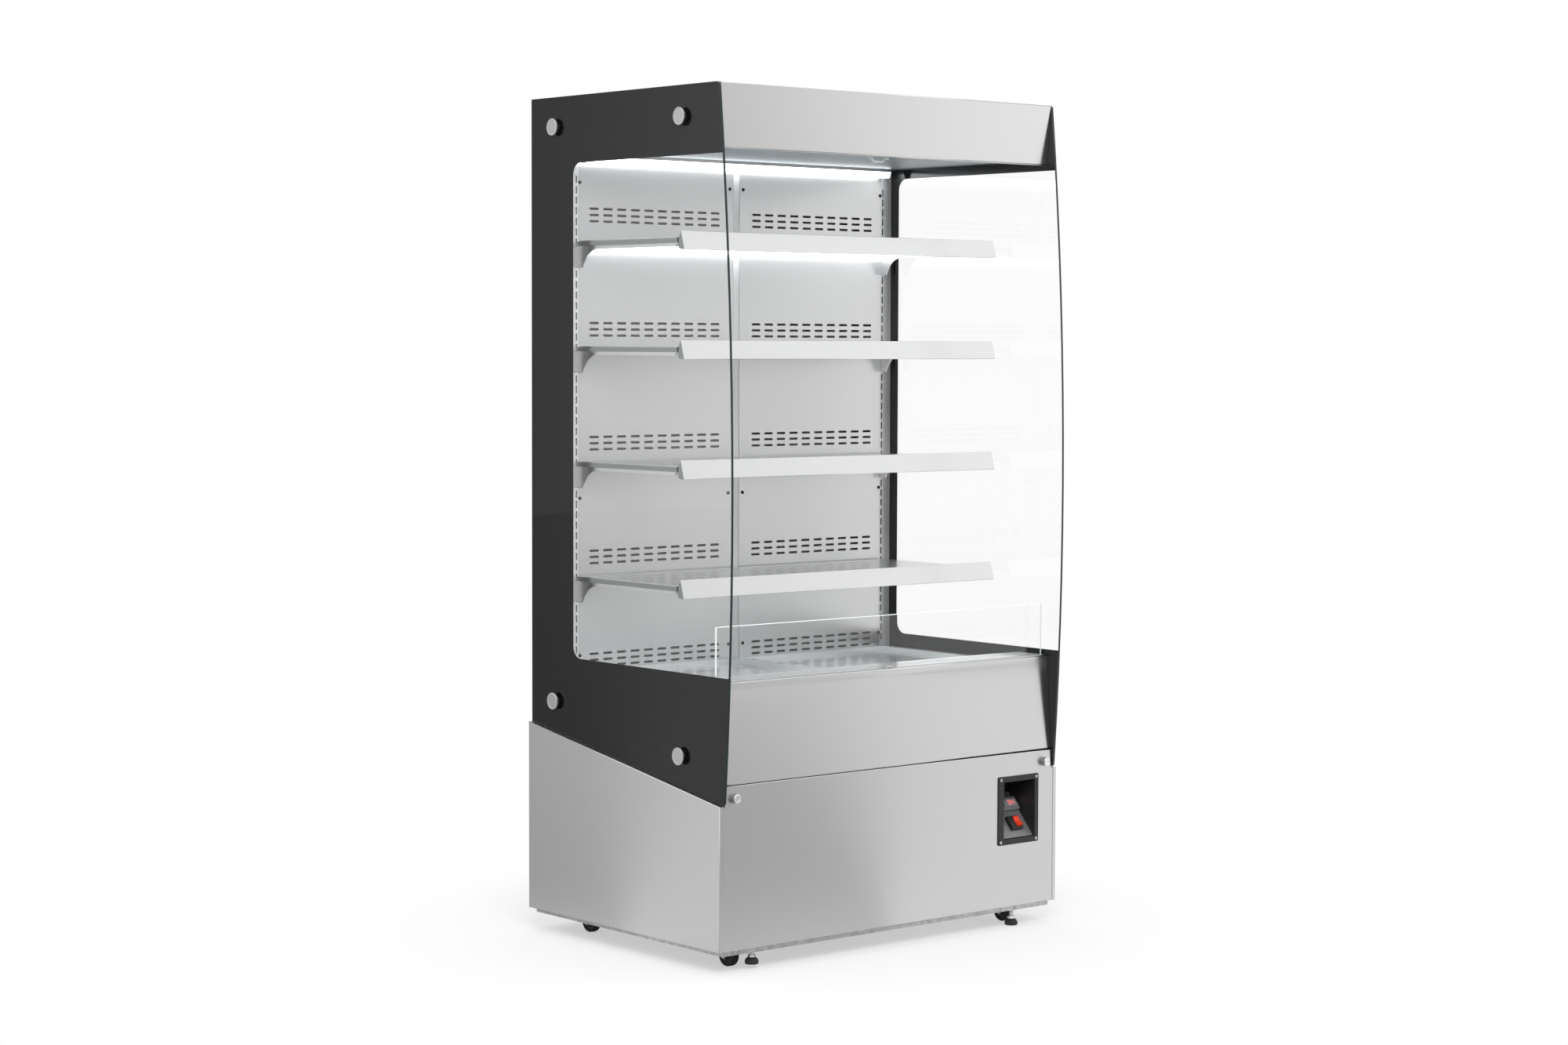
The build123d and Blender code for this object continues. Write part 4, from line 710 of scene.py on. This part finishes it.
# Night curtain: an aluminium roller tube with the cloth wound on it, the free end of the cloth, and a pull
# bar with a moulded handle loop. The bar parks in the ceiling's slot and hooks on the catch of the apron.
dress(satin_aluminium, "curtain_roller")
handle_plastic = plain("pale handle plastic", (0.70, 0.73, 0.74), (0.78, 0.81, 0.82), 0.25, 600.0, 0.00002)
handle_top = 1.7566
bm = copied("curtain_bar")
for face in bm.faces:
    face.material_index = int(face.calc_center_median().z < handle_top)
creased(bm, 35)
piece_from(bm, "pull_bar", [satin_aluminium, handle_plastic], "curtain_bar", ["curtain_bar"])
cloth, nodes, links, skin = material("woven curtain cloth")
preset(skin, {"Roughness": 0.85, "Sheen Weight": 0.2})
threads = preset(nodes.new("ShaderNodeMapping"), {"Scale": (1400.0, 0.0, 1400.0)})
weave = preset(nodes.new("ShaderNodeTexChecker"), {
    "Scale": 1.0, "Color1": (0.44, 0.46, 0.48, 1.0), "Color2": (0.47, 0.49, 0.51, 1.0)})
links.new(nodes.new("ShaderNodeTexCoord").outputs["Object"], threads.inputs["Vector"])
links.new(threads.outputs[0], weave.inputs["Vector"])
links.new(weave.outputs["Color"], skin.inputs["Base Color"])
bumped(nodes, links, skin, weave.outputs["Fac"], 0.2, 0.00002)
low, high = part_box("curtain_fabric")
cloth_half, cloth_y, cloth_gauge, cloth_wave = high.x, (low.y + high.y) / 2, 0.0004, 0.00005
bm = bmesh.new()
bmesh.ops.create_grid(bm, x_segments=60, y_segments=24, size=0.5)
for vert in bm.verts:
    x, run = vert.co.x, vert.co.y + 0.5
    vert.co = (2 * cloth_half * x, cloth_y + cloth_wave * sin(40 * x), low.z + (high.z - low.z) * run)
bm.normal_update()
bmesh.ops.solidify(bm, geom=bm.faces[:], thickness=cloth_gauge)
for face in bm.faces:
    face.smooth = True
cloth_mesh = bpy.data.meshes.new("curtain_cloth")
bm.to_mesh(cloth_mesh)
bm.free()
cloth_mesh.materials.append(cloth)
curtain_cloth = bpy.data.objects.new("curtain_cloth", cloth_mesh)
bpy.context.scene.collection.objects.link(curtain_cloth)
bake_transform(curtain_cloth)
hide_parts("curtain_fabric")


# Shelves: stainless sheet pierced with rows of short slots and folded down at its ends, and at its back between
# the brackets, with a tilted, hollow price lip along the front. Each hangs on two brackets, and lifts off.
shelf_steel = steel("shelf steel", (0.80, 0.805, 0.81), 0.24, (5.0, 900.0, 900.0), 0.000001, 0.004, 0.0, 0.01)
# The shelf's end faces take a darker, greener copy of the shelf steel: painted shade.
shelf_end_painted_shade = steel("shelf end steel, painted shade", (0.34, 0.37, 0.36), 0.34, (900.0, 5.0, 900.0), 0.000001, 0.01)
dress(shelf_steel, "shelf_brackets")
shelf_fold, bracket_room = 0.012, 0.0118
shelf_columns, shelf_rows, shelf_slot_row, shelf_margin = 23, 20, 0.016, 0.026
lip_rise, lip_depth, lip_bend = 0.014, 0.0228, 0.0014
lip_shape = [(-0.0106, lip_rise), (-lip_depth, -0.0275), (-0.0050, -0.0260), (0.0020, -0.0120), (0.0020, -0.0010),
             (-0.0046, 0.0)]


def turned_down(bm, edges, drop):
    """Folds a flat sheet down along edges, rounds the folds and gives the sheet its gauge."""
    drawn(bm, bmesh.ops.extrude_edge_only(bm, edges=edges), (0, 0, -drop))
    rounded(bm, edges, sheet_bend)
    bm.normal_update()
    bmesh.ops.solidify(bm, geom=bm.faces[:], thickness=sheet_gauge)
    bmesh.ops.dissolve_degenerate(bm, edges=bm.edges[:], dist=0.000002)


for level in range(1, 5):
    name = f"shelf_{level}"
    low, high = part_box(name)
    top, front, back, reach = high.z - lip_rise, low.y + lip_depth, high.y, high.x
    slots = [((i - (shelf_columns - 1) / 2) * slot_step, front + shelf_margin + shelf_slot_row * j, slot_long,
              slot_tall) for i in range(shelf_columns) for j in range(shelf_rows)]
    between = reach - bracket_room
    corners = [(-reach, front - 0.004), (reach, front - 0.004), (reach, back), (between, back), (-between, back),
               (-reach, back)]
    bm, rim = slotted(corners, slots)
    bmesh.ops.translate(bm, verts=bm.verts, vec=(0, 0, top))
    folds = [bm.edges.get((rim[a], rim[b])) for a, b in ((1, 2), (3, 4), (5, 0))]
    turned_down(bm, folds, shelf_fold)
    section = [(front + y, top + z) for y, z in lip_shape]
    lip = bar_along_x(bm, section, -reach, 2 * reach)
    bmesh.ops.recalc_face_normals(bm, faces=lip)
    lip_verts = {vert for face in lip for vert in face.verts}
    long_edges = [edge for edge in bm.edges if lip_verts.issuperset(edge.verts)
                  and abs(edge.verts[0].co.x - edge.verts[1].co.x) > reach]
    for face in rounded(bm, long_edges, lip_bend):
        face.smooth = True
    bm.normal_update()
    # Large faces across X take the darker steel, which paints shade on the shelf's ends.
    for face in bm.faces:
        face.material_index = int(abs(face.normal.x) > 0.9 and face.calc_area() > 0.0004)
    piece_from(bm, f"display_shelf_{level}", [shelf_steel, shelf_end_painted_shade], name, [name])


# Front: the sloping apron with the curtain's catch, the air return grille in one piece with the low front
# glass's channel, the low front glass, and the two dished deck trays behind it.
grille_low, grille_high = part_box("return_grille")
sill_z, channel_foot, apron_foot, apron_back = grille_high.z, grille_low.z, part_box("apron")[0].z, 0.0257
apron = folded([(apron_back, sill_z - 0.0001), (0.0158, sill_z - 0.0001), (0.0042, apron_foot),
                (apron_back, apron_foot)], 0.0022)
end_shape = [(0.0250, sill_z - 0.001), (0.0166, sill_z - 0.001), (0.0050, apron_foot + 0.001),
             (0.0250, apron_foot + 0.001)]
for outward in (-1.0, 1.0):
    section = [(base_front + y, z) for y, z in end_shape]
    bar_along_x(apron, section, outward * (body_half - 0.0002), -outward * sheet_gauge)
bmesh.ops.recalc_face_normals(apron, faces=apron.faces)
catch_depth, catch_half, catch_high, catch_round, wire_radius = 0.022, 0.010, 0.0040, 0.0014, 0.0015
catch_path = [(-catch_half, -0.001), (-catch_half, catch_high - catch_round),
              (catch_round - catch_half, catch_high)]
catch_path += [(-x, z) for x, z in reversed(catch_path)]
catch_wire = bpy.data.curves.new("catch_wire", "CURVE")
catch_wire.dimensions = "3D"
catch_wire.bevel_depth = wire_radius
catch_wire.bevel_resolution = 3
run = catch_wire.splines.new("POLY")
run.points.add(len(catch_path) - 1)
for point, (x, z) in zip(run.points, catch_path):
    point.co = (x, base_front + catch_depth, sill_z + z, 1.0)
wire = bpy.data.objects.new("catch_wire", catch_wire)
bpy.context.scene.collection.objects.link(wire)
bpy.context.view_layer.update()
staple = bpy.data.meshes.new_from_object(wire.evaluated_get(bpy.context.evaluated_depsgraph_get()))
bpy.data.objects.remove(wire)
apron.from_mesh(staple)
for face in apron.faces:
    face.smooth = face.smooth or face.calc_center_median().z > sill_z + 0.0005
piece_from(apron, "apron_panel", [brushed], "cabinet", ["apron"])

tray_steel = steel("tray steel", (0.95, 0.99, 1.0), 0.16, soft_grain, soft_depth, 0.008, 0.0, 0.01, 0.5)
pane_depth, pane_gauge, pane_room = 0.032, 0.006, 0.0003
channel_front, channel_back = grille_low.y - base_front, pane_depth + pane_gauge + pane_room + sheet_gauge
grille_back = grille_high.y - base_front
channel = folded([(channel_front, sill_z), (channel_front, channel_foot), (channel_back, channel_foot),
                  (channel_back, sill_z)], 0.0004, 1)
slot_y, slot_length = (channel_back + grille_back) / 2 + base_front - 0.001, grille_back - channel_back - 0.022
return_slots, return_step, return_slot = 119, 0.008, 0.0036
slots = [((i - (return_slots - 1) / 2) * return_step, slot_y, return_slot, slot_length)
         for i in range(return_slots)]
grille_front = base_front + channel_back - sheet_gauge
corners = [(-body_half, grille_front), (body_half, grille_front), (body_half, base_front + grille_back),
           (-body_half, base_front + grille_back)]
grille, rim = slotted(corners, slots)
bmesh.ops.translate(grille, verts=grille.verts, vec=(0, 0, sill_z))
turned_down(grille, [grille.edges.get((rim[2], rim[3]))], sill_z - channel_foot)
channel_mesh = bpy.data.meshes.new("channel")
channel.to_mesh(channel_mesh)
channel.free()
grille.from_mesh(channel_mesh)
piece_from(grille, "air_return", [tray_steel], "cabinet", ["return_grille"])

sill_pane = clear_glass("sill pane", (1.0, 1.0, 1.0), (0.86, 0.96, 0.94), "Y")
pane_arris = 0.0014
low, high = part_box("sill_glass")
bm = bmesh.new()
bmesh.ops.create_cube(bm, size=1.0)
bmesh.ops.scale(bm, verts=bm.verts, vec=high - low)
bmesh.ops.translate(bm, verts=bm.verts, vec=(low + high) / 2)
rounded(bm, [edge for edge in bm.edges if abs(edge.verts[0].co.y - edge.verts[1].co.y) < 0.001], pane_arris, 1)
piece_from(bm, "sill_sheet", [sill_pane], "cabinet", ["sill_glass"])
dress(tray_steel, "deck_tray_left", "deck_tray_right")


# Control unit: a black moulded bezel and recess let into the lower front panel with four screws, a sloping
# grey plate, a thermostat with a lit red number and three keys, and a red rocker switch in its housing.
moulded = plain("black moulding", (0.010, 0.010, 0.011), (0.017, 0.017, 0.019), 0.40, 1100.0, 0.00004)
# The screws' recess material is near-black: painted shade in the dimple of each head.
screw_recess_shade = plain("screw recess, painted shade", (0.01, 0.01, 0.01), (0.02, 0.02, 0.02), 0.6, 900.0)


def parted(bm):
    """The separate shells of a mesh, each as a list of its vertices and its width along X."""
    shells, met = [], set()
    for start in bm.verts:
        if start not in met:
            met.add(start)
            shell = [start]
            for vert in shell:
                linked = [edge.other_vert(vert) for edge in vert.link_edges]
                shell += [other for other in linked if other not in met]
                met.update(linked)
            shells.append((shell, max(v.co.x for v in shell) - min(v.co.x for v in shell)))
    return shells


screw_width, recess_radius, bezel_mouth = 0.01, 0.0012, base_front - 0.003
screw_shape = [(0.0010, 0.0), (0.0009, 0.0010), (0.0001, 0.0013), (0.0, 0.0016), (0.0003, 0.0026),
               (0.0008, 0.0031), (0.0015, 0.0032), (0.0015, 0.0015), (0.0040, 0.0015), (0.0040, 0.0)]
bm = copied("control_bezel")
screw_places = []
for shell, width in parted(bm):
    if width < screw_width:
        middle = sum((v.co for v in shell), Vector()) / len(shell)
        screw_places.append((middle.x, min(v.co.y for v in shell), middle.z))
        bmesh.ops.delete(bm, geom=shell, context="VERTS")
bmesh.ops.dissolve_limit(bm, angle_limit=radians(2), verts=bm.verts, edges=bm.edges)
mouth = [edge for edge in bm.edges if edge.is_manifold and edge.calc_face_angle(0.0) > radians(60)
         and all(abs(vert.co.y - bezel_mouth) < 0.0001 for vert in edge.verts)]
rounded(bm, mouth, 0.0008)
# Each screw's dimple takes the near-black recess material, which paints its shade.
for x, y, z in screw_places:
    for face in turned(bm, screw_shape, (x, y, z), (0, 1, 0), 32, 1):
        centre = face.calc_center_median()
        if hypot(centre.x - x, centre.z - z) < recess_radius:
            face.material_index = 2
creased(bm, 35)
piece_from(bm, "bezel", [moulded, bright, screw_recess_shade], "service_panel", ["control_bezel"])
plate_paint = plain("grey plate", (0.17, 0.17, 0.175), (0.21, 0.21, 0.215), 0.36, 900.0, 0.00004, 0.2)
dress(plate_paint, "control_plate")

plate_tilt, plate_foot = radians(41.7), Vector((0.380, base_front + 0.002, 0.2072))
up_plate = Vector((0.0, sin(plate_tilt), cos(plate_tilt)))
off_plate = Vector((0.0, -cos(plate_tilt), sin(plate_tilt)))
lens_width, lens_across, lens_along, lens_face = 0.045, 0.0235, 0.0875, 0.0113
case_plastic = plain("grey thermostat case", (0.17, 0.17, 0.175), (0.22, 0.22, 0.225), 0.45, 1100.0, 0.00004)
smoked = plain("smoked lens", (0.30, 0.29, 0.30), (0.34, 0.33, 0.34), 0.12, 500.0)
lit_red = plain("lit red segment", (0.6, 0.05, 0.05), (0.7, 0.08, 0.08), 0.3, 900.0)
preset(skin_of(lit_red), {"Emission Color": (1.0, 0.22, 0.20, 1.0), "Emission Strength": 0.9})
bm = copied("thermostat")
for shell, width in parted(bm):
    if width < lens_width:
        for face in {face for vert in shell for face in vert.link_faces}:
            face.material_index = 1
creased(bm, 35)
digit_wide, digit_tall, digit_step, digits_shift = 0.0078, 0.0130, 0.0110, 0.003
stroke, stroke_gauge = 0.0019, 0.0003
flat_bar = (digit_wide - stroke - 0.0005, stroke, stroke_gauge)
tall_bar = (stroke, digit_tall / 2 - 0.0009, stroke_gauge)
segments = {"a": (0, 1, flat_bar), "b": (0.5, 0.5, tall_bar), "c": (0.5, -0.5, tall_bar), "d": (0, -1, flat_bar),
            "e": (-0.5, -0.5, tall_bar), "f": (-0.5, 0.5, tall_bar), "g": (0, 0, flat_bar)}
slope = Matrix.Rotation(pi / 2 - plate_tilt, 3, "X")
lens_middle = plate_foot + Vector((lens_across, 0.0, 0.0)) + up_plate * lens_along + off_plate * lens_face
for digit, lit in enumerate(("abcdef", "bcfg")):
    for letter in lit:
        across, along, size = segments[letter]
        before = set(bm.faces)
        bar = bmesh.ops.create_cube(bm, size=1.0)["verts"]
        bmesh.ops.scale(bm, verts=bar, vec=size)
        rounded(bm, [edge for edge in bm.edges if edge.verts[0] in bar and abs(
            edge.verts[0].co.z - edge.verts[1].co.z) > 0.0001], 0.0005, 2)
        faces = [face for face in bm.faces if face not in before]
        for face in faces:
            face.material_index = 2
        bar = list({vert for face in faces for vert in face.verts})
        move = (across * (digit_wide - stroke) + (digit - 0.5) * digit_step + digits_shift,
                along * (digit_tall - stroke) / 2, 0.0)
        bmesh.ops.translate(bm, verts=bar, vec=move)
        bmesh.ops.rotate(bm, verts=bar, cent=(0, 0, 0), matrix=slope)
        bmesh.ops.translate(bm, verts=bar, vec=lens_middle)
piece_from(bm, "thermostat_unit", [case_plastic, smoked, lit_red], "service_panel",
           ["thermostat"])
key_plastic = plain("grey key", (0.13, 0.13, 0.14), (0.17, 0.17, 0.18), 0.40, 900.0, 0.00002)
dress(key_plastic, "key_set", "key_up", "key_down")
switch_black = plain("black switch housing", (0.006, 0.006, 0.007), (0.012, 0.012, 0.013), 0.35, 1100.0, 0.00003)
dress(switch_black, "rocker_housing")
rocker_red_painted_glow = plain("red rocker, painted glow", (0.60, 0.03, 0.015), (0.70, 0.05, 0.02), 0.20, 300.0, 0.00002)
# The rocker's weak red emission is a painted glow on the cap.
preset(skin_of(rocker_red_painted_glow), {"Emission Color": (1.0, 0.10, 0.03, 1.0), "Emission Strength": 0.14})
dress(rocker_red_painted_glow, "rocker")
